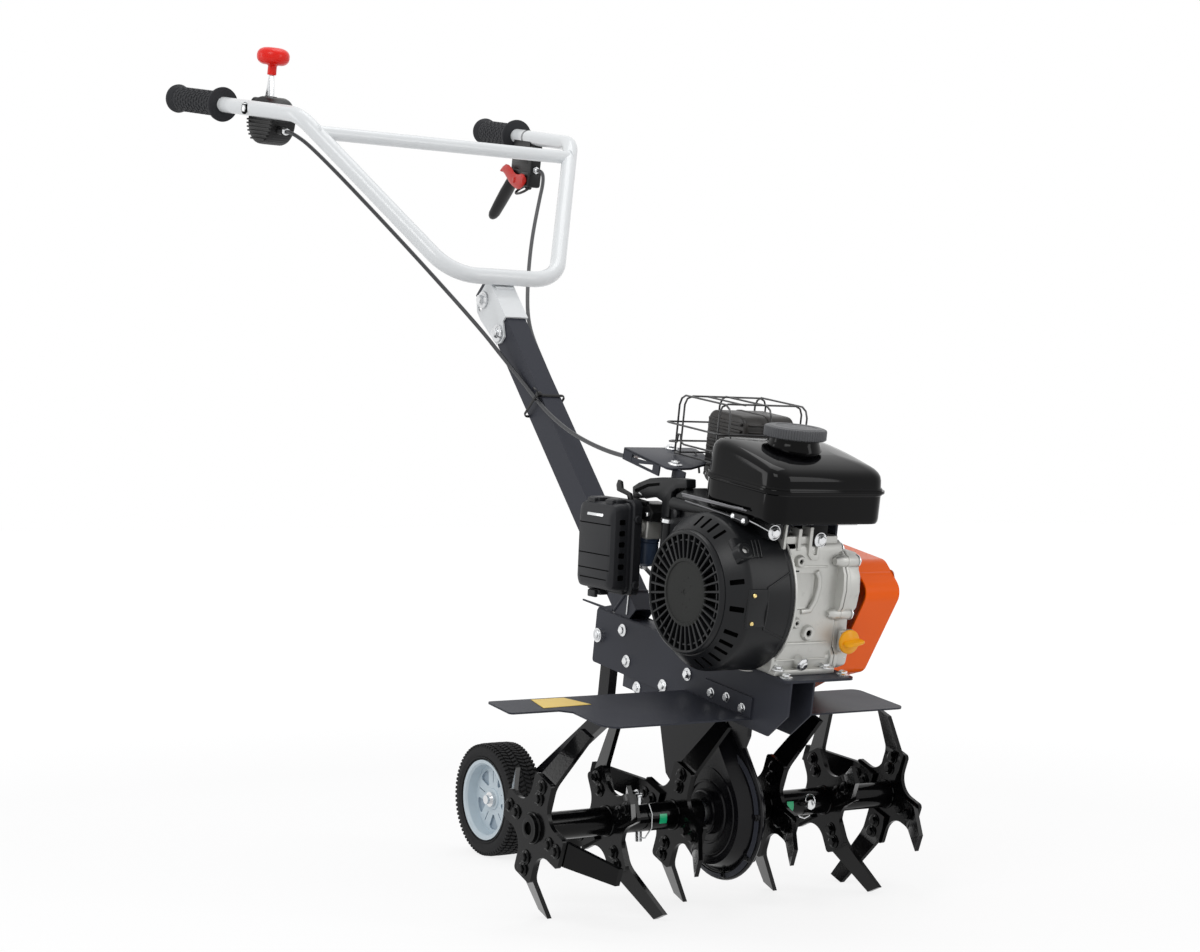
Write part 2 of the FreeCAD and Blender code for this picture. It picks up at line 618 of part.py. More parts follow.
def arm_point(side, after):
    """A point on the upper arm's centre line, a distance behind the shoulder, and its direction."""
    shoulder = Vector(-size("shoulder_back"), side * size("shoulder_half"), size("shoulder_up"))
    end = Vector(-size("shoulder_back + arm_run"), side * size("bar_end_half"), size("bar_end_up"))
    direction = (end - shoulder).normalize()
    return shoulder + direction * after, direction, (end - shoulder).Length


def handlebar():
    loop = along_column("pivot_along + loop_past",
                        "column_depth / 2 + web_gap + bracket_wall + bar_radius + weld_gap")
    points = []
    for side in (-1, 1):
        half = [Vector(-size("shoulder_back + arm_run"), side * size("bar_end_half"), size("bar_end_up")),
                Vector(-size("shoulder_back"), side * size("shoulder_half"), size("shoulder_up")),
                loop + Vector(0, side * size("loop_half"), 0)]
        points += half if side < 0 else half[::-1]
    bends = [size(r) for r in ("shoulder_bend", "loop_bend", "loop_bend", "shoulder_bend")]
    wire = path(points, bends)
    outer = swept("bar_outer", wire, "bar_radius")
    inner = swept("bar_inner", wire, "bar_radius - bar_wall")
    cross = rod("cross_tube", "y", "cross_radius", "-cross_half", "cross_half",
                ("-cross_back", "cross_up"))
    park(cut("handlebar_tube", fuse("handlebar_solid", outer, cross), inner), "handlebar")


def bracket():
    """A bracket folded round the column's top, with a hole at the pivot and a slot above it."""
    inside = size("column_width / 2 + ear_gap")
    outside = inside + size("bracket_wall")
    under = size("column_depth / 2 + web_gap")
    over = under + size("bracket_wall")
    pivot = Vector(size("pivot_along"), 0, size("pivot_off"))
    spacing, margin = size("bolt_spacing"), size("ear_margin")
    top = pivot.x + spacing + margin
    outline = [(5, over - pivot.z), (spacing + margin, over - pivot.z), (spacing + margin, -margin),
               (spacing, -size("ear_low")), (spacing - 16, -size("ear_low")), (-8, -margin),
               (-margin, -4), (-margin, 8), (5, margin + 4)]
    corners = [Vector(pivot.x + x, -outside, pivot.z + z) for x, z in outline]
    ears = Part.Face(Part.makePolygon(corners + corners[:1])).extrude(Vector(0, 2 * outside, 0))
    far = 400
    room = Part.makeBox(far, 2 * inside, far, Vector(top + 1 - far, -inside, under - far))
    hole = Part.makeCylinder(size("bolt_radius + seat_clearance"), 90, Vector(pivot.x, -45, pivot.z),
                             Vector(0, 1, 0))
    slot = arc_slot(pivot, spacing, size("bolt_radius") + 0.6, size("tilt_range") + 1)
    folded = shaped("bracket_folded", ears.cut(room).cut(hole).cut(slot))
    park(put(folded, *column_frame()), "handlebar_bracket")


def arc_slot(pivot, reach, half, sweep):
    """A slot about the pivot from the upper bolt round towards the back, along Y."""
    ring = Part.makeCylinder(reach + half, 90, Vector(pivot.x, -45, pivot.z), Vector(0, 1, 0))
    ring = ring.cut(Part.makeCylinder(reach - half, 90, Vector(pivot.x, -45, pivot.z), Vector(0, 1, 0)))
    turn = math.radians(sweep)
    far = 2 * reach
    wedge = Part.Face(Part.makePolygon([
        Vector(pivot.x, -45, pivot.z), Vector(pivot.x + far, -45, pivot.z),
        Vector(pivot.x + far * math.cos(turn), -45, pivot.z - far * math.sin(turn)),
        Vector(pivot.x, -45, pivot.z)])).extrude(Vector(0, 90, 0))
    ends = [Part.makeCylinder(half, 90, Vector(pivot.x + reach * math.cos(a), -45,
                                               pivot.z - reach * math.sin(a)), Vector(0, 1, 0))
            for a in (0, turn)]
    return ring.common(wedge).multiFuse(ends)


def bracket_bolts():
    """The pivot bolt and the slot bolt, each with a head on the right and a nut on the left."""
    outside = size("column_width / 2 + ear_gap + bracket_wall + washer_gap")
    bolts = []
    for i, place in enumerate(bolt_places()):
        shank = Part.makeCylinder(size("bolt_radius"), 2 * outside + 10,
                                  Vector(place.x, -outside - 9, place.z), Vector(0, 1, 0))
        head = Part.makeCylinder(size("head_radius"), size("head_thick"),
                                 Vector(place.x, outside, place.z), Vector(0, 1, 0))
        nut = Part.makeCylinder(size("nut_radius"), size("nut_thick"),
                                Vector(place.x, -outside - size("nut_thick"), place.z), Vector(0, 1, 0))
        bolts.append(shaped("bracket_bolt_%d" % i, shank.multiFuse([head, nut]).removeSplitter()))
    park(put(group("bracket_bolts_pair", *bolts), *column_frame()), "bracket_bolts")


# ---------------------------------------------------------------- grips and controls

def arm_frame(side, after):
    """A point on the upper arm and the turn that takes X forward along the arm and Y to the left."""
    at, direction, _ = arm_point(side, after)
    forward = direction * -1
    left = Vector(0, 0, 1).cross(forward).normalize()
    return at, Rotation(forward, left, forward.cross(left), "XZY")


def grips():
    flange, end = "grip_flange", "grip_end_flange"
    bore = "bar_radius + grip_gap"
    thick = "grip_flange_thick"
    for hand, side in (("right", -1), ("left", 1)):
        grip = turned("grip_turned_" + hand, [
            (bore, "0"), (flange, "0"), (flange, thick), ("grip_radius", thick + " + 3"),
            ("grip_radius", "grip_length - 9"), (end, "grip_length - 6"), (end, "grip_length - 1"),
            (end + " - 3", "grip_length + 1"), ("0", "grip_length + 1"), ("0", "grip_length - 2"),
            (bore, "grip_length - 2")])
        length = arm_point(side, 0)[2]
        at, direction, _ = arm_point(side, length - size("grip_length") + 2.2)
        park(put(grip, at, Rotation(Vector(0, 1, 0), direction)), "grip_" + hand)


def throttle():
    place = arm_frame(-1, arm_point(-1, 0)[2] - size("drum_before"))
    low = size("bar_radius") + 0.1
    drop = size("drum_up") - place[0].z
    radius, thick = size("drum_radius"), size("drum_thick")
    drum = Part.makeCylinder(radius, thick, Vector(0, low, drop), Vector(0, 1, 0))
    drum = drum.makeFillet(5, drum.Edges)
    saddle = Part.makeBox(26, 16, 18, Vector(-13, 2, -9))
    outlet = Part.makeCylinder(4.5, 34, Vector(20, 24, drop - 12), Vector(1, 0, 0))
    bore = Part.makeCylinder(size("bar_radius + grip_gap"), 120, Vector(-60, 0, 0), Vector(1, 0, 0))
    housing = drum.multiFuse([saddle, outlet]).cut(bore)
    park(put(shaped("drum_shape", housing), *place), "throttle_drum")
    top = drop + radius
    lever = Part.makeBox(13, 3, size("lever_length") + radius,
                         Vector(-size("lever_back") - 6.5, low + thick / 2 - 1.5, drop))
    lever = lever.cut(Part.makeCylinder(radius + 0.1, 2 * thick, Vector(0, 0, drop), Vector(0, 1, 0)))
    park(put(shaped("lever_shape", lever), *place), "throttle_lever")
    wide, high, neck = "knob_width / 2", "knob_height", "knob_neck"
    knob = turned("knob_turned", [("0", "0"), (neck, "0"), (neck, "13"), (wide + " - 6", "14"),
                                  (wide, "20"), (wide, "13 + knob_height - 8"),
                                  (wide + " - 6", "13 + knob_height"), ("0", "13 + knob_height")])
    at = Vector(-size("lever_back"), low + thick / 2, top + 0.1 + size("lever_length"))
    knob_at = Placement(*place).multVec(at)
    park(put(knob, knob_at, place[1].multiply(Rotation(Vector(1, 0, 0), 90))), "throttle_knob")
    return [Placement(*place).multVec(Vector(x, 24, drop - 12)) for x in (54.45, 68.05)]


CLAW = [(-41, 19), (-27, 10), (-3, 0), (23, -5), (39, -1), (45, 8), (37, 18), (27, 18), (14, 13),
        (3, 14), (-6, 19), (-6, 28), (-21, 28)]


def clutch():
    place = arm_frame(1, arm_point(1, 0)[2] - size("clutch_before"))
    below = -size("bar_radius") - size("clutch_drop")
    length = size("clutch_mount_length")
    block = Part.makeBox(length, 22, 23, Vector(-38, -11, below))
    block = block.makeFillet(4, block.Edges)
    neck = Part.makeBox(length - 18, 16, size("clutch_drop"), Vector(-21, -8, below + 4))
    adjuster = Part.makeCylinder(4, 18, Vector(48, 0, below + 25), Vector(1, 0, 0))
    bore = Part.makeCylinder(size("bar_radius + grip_gap"), 160, Vector(-80, 0, 0), Vector(1, 0, 0))
    park(put(shaped("mount_shape", block.multiFuse([neck, adjuster]).cut(bore)), *place),
         "clutch_mount")
    start = Vector(-32, 0, below - 0.1)
    tip = start - Vector(size("clutch_lever_back"), 0, size("clutch_lever_down"))
    along = (tip - start).normalize()
    wide = Vector(along.z, 0, -along.x) * 8.5
    lever = Part.Face(Part.makePolygon([start + Vector(14, 0, 0), start - Vector(10, 0, 0), tip + wide,
                                        tip - wide, start + Vector(14, 0, 0)]))
    lever = lever.extrude(Vector(0, size("clutch_lever_width"), 0))
    lever.translate(Vector(0, -size("clutch_lever_width") / 2, 0))
    park(put(shaped("clutch_lever_shape", lever), *place), "clutch_lever")
    spots = [Vector(x, -size("claw_right"), below + z) for x, z in CLAW]
    lock = Part.Face(Part.makePolygon(spots + spots[:1])).extrude(Vector(0, size("claw_thick"), 0))
    park(put(shaped("clutch_lock_shape", lock), *place), "clutch_lock")
    return [Placement(*place).multVec(Vector(x, 0, below + 25)) for x in (66.4, 80)]


# ---------------------------------------------------------------- engine

def crankcase():
    block = slab("block", "side", [("-block_rear", "plate_top + deck_thick"),
                                   ("block_front", "plate_top + deck_thick"),
                                   ("block_front", "block_top"), ("-block_rear", "block_top")],
                 "-block_right", "block_left", {"12": (1, 2)})
    park(block, "crankcase")
    cover = slab("cover", "side", [("-block_rear + 4", "plate_top + deck_thick + 2"),
                                   ("block_front + 4", "plate_top + deck_thick + 2"),
                                   ("block_front + 4", "block_top - 24"),
                                   ("-block_rear + 4", "block_top - 24")],
                 "block_left", "cover_left", {"18": (0, 1, 2, 3)})
    shaft = rod("crank_end", "y", "crank_end_radius", "cover_left - 1", "guard_left - 12", ("crank_ahead", "crank_up"))
    park(fuse("cover_whole", cover, shaft), "crankcase_cover")
    barrel = slab("barrel", "side", [("-block_rear", "228"), ("-block_rear", "block_top"),
                                     ("-barrel_rear", "block_top + 3"), ("-barrel_rear", "232")],
                  "-block_right", "barrel_left", {"10": (2, 3)})
    park(barrel, "cylinder")
    at = ("stick_left", "stick_up")
    stick = rod("dipstick_neck", "x", "stick_neck", "block_front + 4", "block_front + 18", at)
    head = rod("dipstick_head", "x", "stick_head", "block_front + 18", "block_front + 25", at)
    park(fuse("stick_whole", stick, head), "dipstick")


DUCT = [("-60", "300"), ("-74", "318"), ("-74", "338"), ("-88", "338"), ("-90", "354"),
        ("-140", "346"), ("-140", "358"), ("-96", "384"), ("-44", "384"), ("-44", "364"),
        ("20", "350"), ("20", "300")]


def blower():
    centre = ("crank_ahead", "crank_up")
    drum = turned("blower_drum", [("0", "-blower_face"), ("recoil_radius + 2", "-blower_face"),
                                  ("blower_radius - 2", "-blower_shoulder - 3"),
                                  ("blower_radius", "-blower_shoulder"), ("blower_radius", "-block_right"),
                                  ("0", "-block_right")], centre)
    duct = slab("blower_duct", "side", DUCT, "-duct_right", "-block_right")
    park(fuse("blower_whole", drum, duct), "blower_shroud")
    cover = turned("recoil_turned", [("0", "-recoil_face"), ("recoil_radius - 3", "-recoil_face"),
                                     ("recoil_radius", "-recoil_face + 3"),
                                     ("recoil_radius", "-blower_face"), ("0", "-blower_face")],
                   centre)
    park(cover, "recoil_cover")


SEAM = "tank_bottom + tub_height"
TANK_TOP = SEAM + " + lid_height"


def tank():
    def outline(out):
        return [("-tank_rear - %s" % out, "-tank_right - %s" % out),
                ("tank_front + %s" % out, "-tank_right - %s" % out),
                ("tank_front + %s" % out, "tank_left + %s" % out),
                ("-tank_rear - %s" % out, "tank_left + %s" % out)]

    def corners(out):
        return {"tank_front_round + " + out: (1, 2), "tank_rear_round + " + out: (0, 3)}

    lower = slab("tank_lower", "top", outline("0"), "tank_bottom", "tank_bottom + tub_height", corners("0"))
    upper = slab("tank_upper", "top", outline("0"), "tank_bottom + tub_height", "tank_bottom + tub_height + lid_height", corners("0"))
    dome = slab("tank_dome", "side", [("-tank_rear", SEAM), ("tank_front", SEAM),
                                      ("tank_front", "tank_bottom + tub_height + lid_height - tank_fall"), ("-tank_rear", "tank_bottom + tub_height + lid_height")],
                "-tank_right", "tank_left", {"tank_shoulder": (2, 3)})
    crown = upper.Shape.common(dome.Shape)
    crown = crown.makeFillet(size("tank_crease"), [e for e in crown.Edges if e.CenterOfMass.z > size("tank_bottom + tub_height + 4")
                                 and e.BoundBox.ZLength < size("tank_fall + 4")
                                 and e.BoundBox.XLength > size("cap_radius")])
    flange = slab("tank_rim", "top", outline("tank_flange"), "tank_bottom + tub_height - 1.5", "tank_bottom + tub_height + 1.5",
                  corners("tank_flange"))
    neck = rod("tank_neck", "z", "neck_radius", "tank_bottom + tub_height", "tank_bottom + tub_height + lid_height + neck_height",
               ("cap_ahead", "cap_left"))
    park(fuse("tank_whole", lower, shaped("tank_crown", crown), flange, neck), "fuel_tank")
    cap = rod("cap_disc", "z", "cap_radius", "tank_bottom + tub_height + lid_height + neck_height", "tank_bottom + tub_height + lid_height + neck_height + cap_height",
              ("cap_ahead", "cap_left"))
    park(cap, "fuel_cap")
    top = box("rack_plate", ("-rack_rear", "rack_front"), ("-rack_right", "rack_left"),
              ("tank_bottom - rack_thick", "tank_bottom"))
    legs = [box("rack_foot_%d" % i, ("leg_rear", "leg_front"), (low, low + " + rack_thick"),
                ("block_top", "tank_bottom - 2")) for i, low in enumerate(("-leg_right", "leg_left"))]
    park(fuse("rack_whole", top, *legs), "tank_rack")


def intake():
    case = slab("filter_case", "side", [("-filter_rear", "filter_bottom"), ("-filter_front", "filter_bottom"),
                                        ("-filter_front - filter_lean", "filter_top"),
                                        ("-filter_rear - filter_lean", "filter_top")],
                "-filter_right", "-filter_left", {"filter_round": (0, 1, 2, 3)})
    park(case, "air_filter")
    body = box("carburettor_body", ("-carburettor_rear", "-carburettor_front"),
               ("-filter_left", "-block_right"), ("carburettor_bottom", "carburettor_top"))
    bowl = rod("carburettor_bowl", "z", "bowl_radius", "bowl_bottom", "carburettor_bottom + 1",
               ("-bowl_back", "-bowl_right"))
    park(fuse("carburettor_whole", body, bowl), "carburettor")


def exhaust():
    can = slab("muffler_can", "side", [("-muffler_rear", "muffler_bottom"),
                                       ("-muffler_front", "muffler_bottom"),
                                       ("-muffler_front", "muffler_top"),
                                       ("-muffler_rear", "muffler_top")],
               "muffler_right", "muffler_left", {"muffler_round": (0, 1, 2, 3)})
    pipe = rod("muffler_pipe", "z", "pipe_radius", "block_top + 2.1", "muffler_bottom + 1",
               ("-pipe_back", "pipe_left"))
    park(fuse("muffler_whole", can, pipe), "muffler")
    low, high = size("muffler_bottom + cage_lift"), size("muffler_top + cage_over")
    near, far = size("muffler_right - cage_beside"), size("muffler_left + cage_over")
    wires = []
    for place in ("rear", "middle", "front"):
        x, bend = -size("cage_" + place), size("cage_bend")
        hoop = path([Vector(x, near, low), Vector(x, near, high), Vector(x, far, high),
                     Vector(x, far, low)], [bend, bend])
        wires.append(swept("cage_hoop_" + place, hoop, "wire_radius"))
    middle = "muffler_bottom + cage_lift + cage_rail_lift"
    rails = ((near, middle), (far, middle), (10, high), (50, high), (88, high))
    for i, (y, z) in enumerate(rails):
        wires.append(rod("cage_rail_%d" % i, "x", "wire_radius", "-cage_rear - 2", "2 - cage_front",
                         (str(y), str(z))))
    wires.append(rod("cage_stay", "y", "wire_radius", "muffler_left", str(far),
                     ("-cage_middle", middle)))
    park(fuse("cage_whole", *wires), "muffler_cage")


def throttle_bracket():
    thick = "control_thick"
    plate = box("control_sheet", ("-control_rear", "-control_front"), ("-control_right", "control_left"),
                ("control_top - " + thick, "control_top"))
    lip = box("control_edge", ("-control_rear", "-control_lip_front"),
              ("-control_right", "-control_right + " + thick), ("control_lip", "control_top - 1"))
    rear = box("control_back", ("-control_rear", "-control_rear + " + thick),
               ("-control_right", "-30"), ("control_lip + 4", "control_top - 1"))
    leg = box("control_foot", ("-control_front - 24", "-control_front"), ("-control_right + 2", "-30"),
              ("384", "control_top - 2"))
    park(fuse("bracket_plate_whole", plate, lip, rear, leg), "throttle_bracket")


# The belt guard's outline from its lower rear corner forward and round.
GUARD = [("-112", "125"), ("-68", "109"), ("0", "152"), ("58", "176"), ("108", "283"), ("72", "313"),
         ("-104", "322")]


def belt_drive():
    shell = slab("guard_shell", "side", GUARD, "guard_right", "guard_left",
                 {"guard_round": (0, 1, 3, 4, 5, 6)})
    rim = [f for f in shell.Shape.Faces if abs(f.CenterOfMass.y - size("guard_right")) < 1e-3][0]
    inside = rim.makeOffset2D(-size("guard_wall"))
    hollow = inside.extrude(Vector(0, size("guard_left - guard_right - guard_wall"), 0))
    bosses = [rod("guard_boss_%d" % i, "y", "guard_boss_radius", "cover_left", "guard_left - 1", at)
              for i, at in enumerate((("84", "296"), ("60", "212")))]
    park(fuse("guard_whole", cut("guard_open", shell, shaped("guard_hollow", hollow)), *bosses),
         "belt_guard")
    near, far = "guard_right + pulley_near", "guard_right + pulley_far"
    crank = ("crank_ahead", "crank_up")
    drive = rod("drive_disc", "y", "drive_radius", near, far, crank)
    bore = rod("drive_bore", "y", "crank_end_radius + seat_clearance", "guard_right", "guard_left", crank)
    park(cut("drive_whole", drive, bore), "engine_pulley")
    driven = rod("driven_disc", "y", "driven_radius", near, far, ("-input_back", "input_up"))
    shaft = rod("driven_shaft", "y", "input_radius", "carrier_thick / 2", "guard_right + 24",
                ("-input_back", "input_up"))
    park(fuse("driven_whole", driven, shaft), "input_pulley")


# ---------------------------------------------------------------- cables

def cable(name, points, radius):
    """A round cable through points, each bend as large as its two runs allow."""
    radii = []
    for before, corner, after in zip(points, points[1:], points[2:]):
        turn = math.pi - (before - corner).getAngle(after - corner)
        short = min((corner - before).Length, (after - corner).Length)
        radii.append(0.45 * short / math.tan(turn / 2))
    wire = path(points, radii)
    ring = Part.Wire(Part.makeCircle(radius, points[0], points[1] - points[0]))
    print("%s: length %.0f" % (name, wire.Length))
    park(shaped(name + "_tube", wire.makePipeShell([ring], True, False)), name)


def cables(throttle_end, clutch_end):
    radius = size("cable_radius")
    cable("throttle_cable", [
        *throttle_end, Vector(-840, -184, 722), Vector(-715, -112, 617),
        Vector(-590, -42, 508), Vector(-540, -24, 467), Vector(-505, -18.2, 446),
        Vector(-469, -18.1, 428), Vector(-425, -20, 411), Vector(-372, -26, 399),
        Vector(-315, -33, 392), Vector(-260, -39, 389), Vector(-218, -43, 389),
        Vector(-185.4, -46, 390)], radius)
    cable("clutch_cable", [
        *clutch_end, Vector(-882, 222, 706), Vector(-850, 198, 680),
        Vector(-775, 145, 626), Vector(-700, 98, 578), Vector(-630, 58, 537), Vector(-585, 36, 514),
        Vector(-548, 23, 495), Vector(-515, 18.4, 472), Vector(-460, 18.2, 422),
        Vector(-395, 18.3, 365), Vector(-340, 18.8, 317), Vector(-298, 24, 276),
        Vector(-262, 38, 240), Vector(-225, 60, 212), Vector(-185, 88, 194), Vector(-145, 110, 184),
        Vector(-111, 118, 180)], radius)
    foot, turn = column_frame()
    tie_at = size("(tie_back - column_foot_back) / cos(column_lean)")
    thick, along = size("tie_thick"), size("tie_wide")
    wide, deep = size("column_width / 2") + 2 * radius + thick, size("column_depth / 2")
    ring = Part.makeBox(along, 2 * (wide + thick), 2 * (deep + thick),
                        Vector(tie_at - along / 2, -wide - thick, -deep - thick))
    ring = ring.cut(Part.makeBox(2 * along, 2 * wide, 2 * deep, Vector(tie_at - along, -wide, -deep)))
    park(put(shaped("tie_ring", ring), foot, turn), "cable_tie")


for make in (side_plates, fenders, column, chain_case, rotor, transport_wheel, handlebar, bracket,
             bracket_bolts, grips, crankcase, blower, tank, intake, exhaust, throttle_bracket,
             belt_drive):
    make()
cables(throttle(), clutch())

doc.recompute()
for label, thing in made.items():
    shape = thing.Shape
    if "Invalid" in thing.State or "Error" in thing.State or shape.isNull() or not shape.isValid():
        raise RuntimeError("%s failed: %s" % (label, thing.State))
for thing in doc.Objects:
    if "Invalid" in thing.State or "Error" in thing.State:
        raise RuntimeError("%s failed: %s" % (thing.Name, thing.State))
os.makedirs("parts", exist_ok=True)
for label, thing in made.items():
    thing.Shape.exportStep("parts/%s.step" % label)
    print("%-20s solids %d  volume %.0f" % (label, len(thing.Shape.Solids), thing.Shape.Volume))
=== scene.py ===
"""The looks of a garden tiller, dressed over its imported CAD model.

Sizes are in millimetres in the level machine, measured from the rotor's axis: x forward, y to the
operator's left, z up. LEVEL takes them to the frame, where the machine stands pitched nose down.
"""
import json
import math

import bmesh
import bpy
from mathutils import Euler, Matrix, Vector

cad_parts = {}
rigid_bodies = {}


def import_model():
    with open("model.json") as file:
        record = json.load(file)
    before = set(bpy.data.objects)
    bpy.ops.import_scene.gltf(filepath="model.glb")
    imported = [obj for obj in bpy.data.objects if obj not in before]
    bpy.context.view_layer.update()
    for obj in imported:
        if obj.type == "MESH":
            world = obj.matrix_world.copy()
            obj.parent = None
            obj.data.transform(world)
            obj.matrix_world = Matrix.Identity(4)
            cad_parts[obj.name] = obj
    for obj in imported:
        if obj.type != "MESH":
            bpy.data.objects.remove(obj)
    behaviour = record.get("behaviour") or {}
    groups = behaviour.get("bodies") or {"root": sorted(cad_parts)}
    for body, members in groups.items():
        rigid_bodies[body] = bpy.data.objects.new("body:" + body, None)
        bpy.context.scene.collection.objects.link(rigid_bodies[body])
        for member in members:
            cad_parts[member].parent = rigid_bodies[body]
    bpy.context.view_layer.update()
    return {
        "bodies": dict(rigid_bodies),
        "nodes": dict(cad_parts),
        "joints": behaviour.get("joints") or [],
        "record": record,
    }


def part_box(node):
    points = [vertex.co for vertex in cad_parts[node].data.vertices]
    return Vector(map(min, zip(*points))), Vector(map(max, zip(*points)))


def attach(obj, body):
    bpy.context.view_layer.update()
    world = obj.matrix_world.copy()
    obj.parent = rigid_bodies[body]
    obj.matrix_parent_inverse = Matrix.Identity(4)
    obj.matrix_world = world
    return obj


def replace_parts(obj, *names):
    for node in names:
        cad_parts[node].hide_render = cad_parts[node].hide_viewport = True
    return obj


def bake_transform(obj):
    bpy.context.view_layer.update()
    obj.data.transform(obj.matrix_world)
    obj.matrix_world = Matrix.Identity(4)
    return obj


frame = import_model()
NODES = frame["nodes"]

shaft_low, shaft_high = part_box("output_shaft")
SHAFT = (shaft_low + shaft_high) / 2
tyre_low, tyre_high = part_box("tyre")
MM = Matrix.Scale(0.001, 4)
PITCH = Matrix.Rotation(math.radians(10), 4, "Y")
LEVEL = Matrix.Translation(SHAFT) @ PITCH @ MM
ROTOR = Matrix.Translation(SHAFT) @ MM
WHEEL = Matrix.Translation((tyre_low + tyre_high) / 2) @ MM


# ------------------------------------------------------------------ node trees

class Wire:
    """A socket in a node tree that takes arithmetic."""

    def __init__(self, tree, socket):
        self.tree, self.socket = tree, socket

    def _math(self, operation, *values):
        return self.tree.add("ShaderNodeMath", {"operation": operation}, *values)[0]

    def __add__(self, other):
        return self._math("ADD", self, other)

    def __radd__(self, other):
        return self._math("ADD", other, self)

    def __sub__(self, other):
        return self._math("SUBTRACT", self, other)

    def __mul__(self, other):
        return self._math("MULTIPLY", self, other)

    def least(self, other):
        return self._math("MINIMUM", self, other)

    def most(self, other):
        return self._math("MAXIMUM", self, other)


class Made:
    """A node whose outputs are taken by name or number."""

    def __init__(self, tree, node):
        self.tree, self.node = tree, node

    def __getitem__(self, key):
        return Wire(self.tree, self.node.outputs[key])


class Tree:
    """A node tree, for a material or for geometry."""

    def __init__(self, nodes):
        self.nodes = nodes

    def add(self, kind, settings=None, *values, **named):
        """A node of a kind, with its settings first and then its sockets' values or links."""
        node = self.nodes.nodes.new(kind)
        for key, value in (settings or {}).items():
            if key == "stops":
                ramp = node.color_ramp
                while len(ramp.elements) > 1:
                    ramp.elements.remove(ramp.elements[0])
                for i, (place, colour) in enumerate(value):
                    stop = ramp.elements[0] if i == 0 else ramp.elements.new(place)
                    stop.position, stop.color = place, colour
            else:
                setattr(node, key, value)
        pairs = [(node.inputs[i], value) for i, value in enumerate(values)]
        pairs += [(node.inputs[key.replace("_", " ")], value) for key, value in named.items()]
        for socket, value in pairs:
            self.feed(socket, value)
        return Made(self, node)

    def feed(self, socket, value):
        """A link or a constant for a socket; None leaves it as it is."""
        if isinstance(value, Wire):
            self.nodes.links.new(value.socket, socket)
        elif value is not None:
            socket.default_value = value


class Finish(Tree):
    """A material on a Principled shader."""

    def __init__(self, name):
        self.material = bpy.data.materials.new(name)
        self.material.use_nodes = True
        super().__init__(self.material.node_tree)
        self.shader = self.nodes.nodes["Principled BSDF"]
        self.place = self.add("ShaderNodeTexCoord")["Object"]

    def noise(self, scale, detail=2.0, rough=0.5, stretch=None):
        """Noise on Object coordinates, at so many grains to the metre."""
        place = self.place
        if stretch:
            place = self.add("ShaderNodeMapping", None, place, Scale=stretch)[0]
        return self.add("ShaderNodeTexNoise", None, Vector=place, Scale=scale, Detail=detail,
                        Roughness=rough)[0]

    def mix(self, factor, one, other):
        """A colour between two colours."""
        made = self.add("ShaderNodeMix", {"data_type": "RGBA"})
        for index, value in ((0, factor), (6, one), (7, other)):
            self.feed(made.node.inputs[index], value)
        return made[2]

    def bump(self, height, depth):
        """A bump of a height field, depth metres deep."""
        return self.add("ShaderNodeBump", None, Height=height, Distance=depth, Strength=1.0)[0]

    def set(self, **values):
        """The shader's own sockets."""
        for key, value in values.items():
            self.feed(self.shader.inputs[key.replace("_", " ")], value)
        return self.material


def tone(colour, factor):
    """A colour made lighter or darker."""
    return tuple(min(1.0, c * factor) for c in colour[:3]) + (1.0,)


def level_colour(red, green, blue):
    """A display colour of 0 to 255 as the shader wants it."""
    return tuple(((c / 255 + 0.055) / 1.055) ** 2.4 if c > 10 else c / 255 / 12.92
                 for c in (red, green, blue)) + (1.0,)


# ------------------------------------------------------------------ finishes

def enamel(name, colour, rough=0.3, coat=0.4, peel=0.00006, grain=0.0, clouds=0.05, shine=0.5):
    """Sprayed paint: a little orange peel, faint clouds in the colour and in the gloss."""
    f = Finish(name)
    cloud = f.noise(14, 3)
    wave = f.noise(420, 2)
    fine = f.noise(2600, 2)
    height = wave if not grain else wave * (1 - grain) + fine * grain
    return f.set(Base_Color=f.mix(cloud, tone(colour, 1 - clouds), tone(colour, 1 + clouds)),
                 Roughness=(cloud - 0.5) * 0.14 + rough + fine * 0.04, Coat_Weight=coat,
                 Coat_Roughness=0.12, Specular_IOR_Level=shine, Normal=f.bump(height, peel))


def moulded(name, colour, rough=0.5, grain=0.00005, size=1500, clouds=0.06, coat=0.0, shine=0.5):
    """Moulded plastic or rubber with a spark-eroded grain."""
    f = Finish(name)
    skin = f.noise(size, 3, 0.6)
    cloud = f.noise(22, 3)
    scuff = f.noise(90, 4, 0.7, (1, 1, 0.25))
    marks = ((scuff - 0.62) * 9).most(0).least(1)
    base = f.mix(cloud, tone(colour, 1 - clouds), tone(colour, 1 + clouds))
    pale = tuple(min(1.0, c * 1.25 + 0.012) for c in colour[:3]) + (1.0,)
    return f.set(Base_Color=f.mix(marks * 0.35, base, pale),
                 Roughness=rough + (skin - 0.5) * 0.12 + marks * 0.08, Coat_Weight=coat, Coat_Roughness=0.2,
                 Specular_IOR_Level=shine, Normal=f.bump(skin, grain))


def plated(name, colour, rough=0.3, brush=(1, 1, 1), size=900):
    """Zinc-plated or bare steel: metal with fine marks and cloudy brightness."""
    f = Finish(name)
    grain = f.noise(size, 3, 0.6, brush)
    cloud = f.noise(60, 3)
    return f.set(Base_Color=f.mix(cloud, tone(colour, 0.82), tone(colour, 1.12)), Metallic=1.0,
                 Roughness=rough + (grain - 0.5) * 0.25 + (cloud - 0.5) * 0.12,
                 Normal=f.bump(grain, 0.00003))


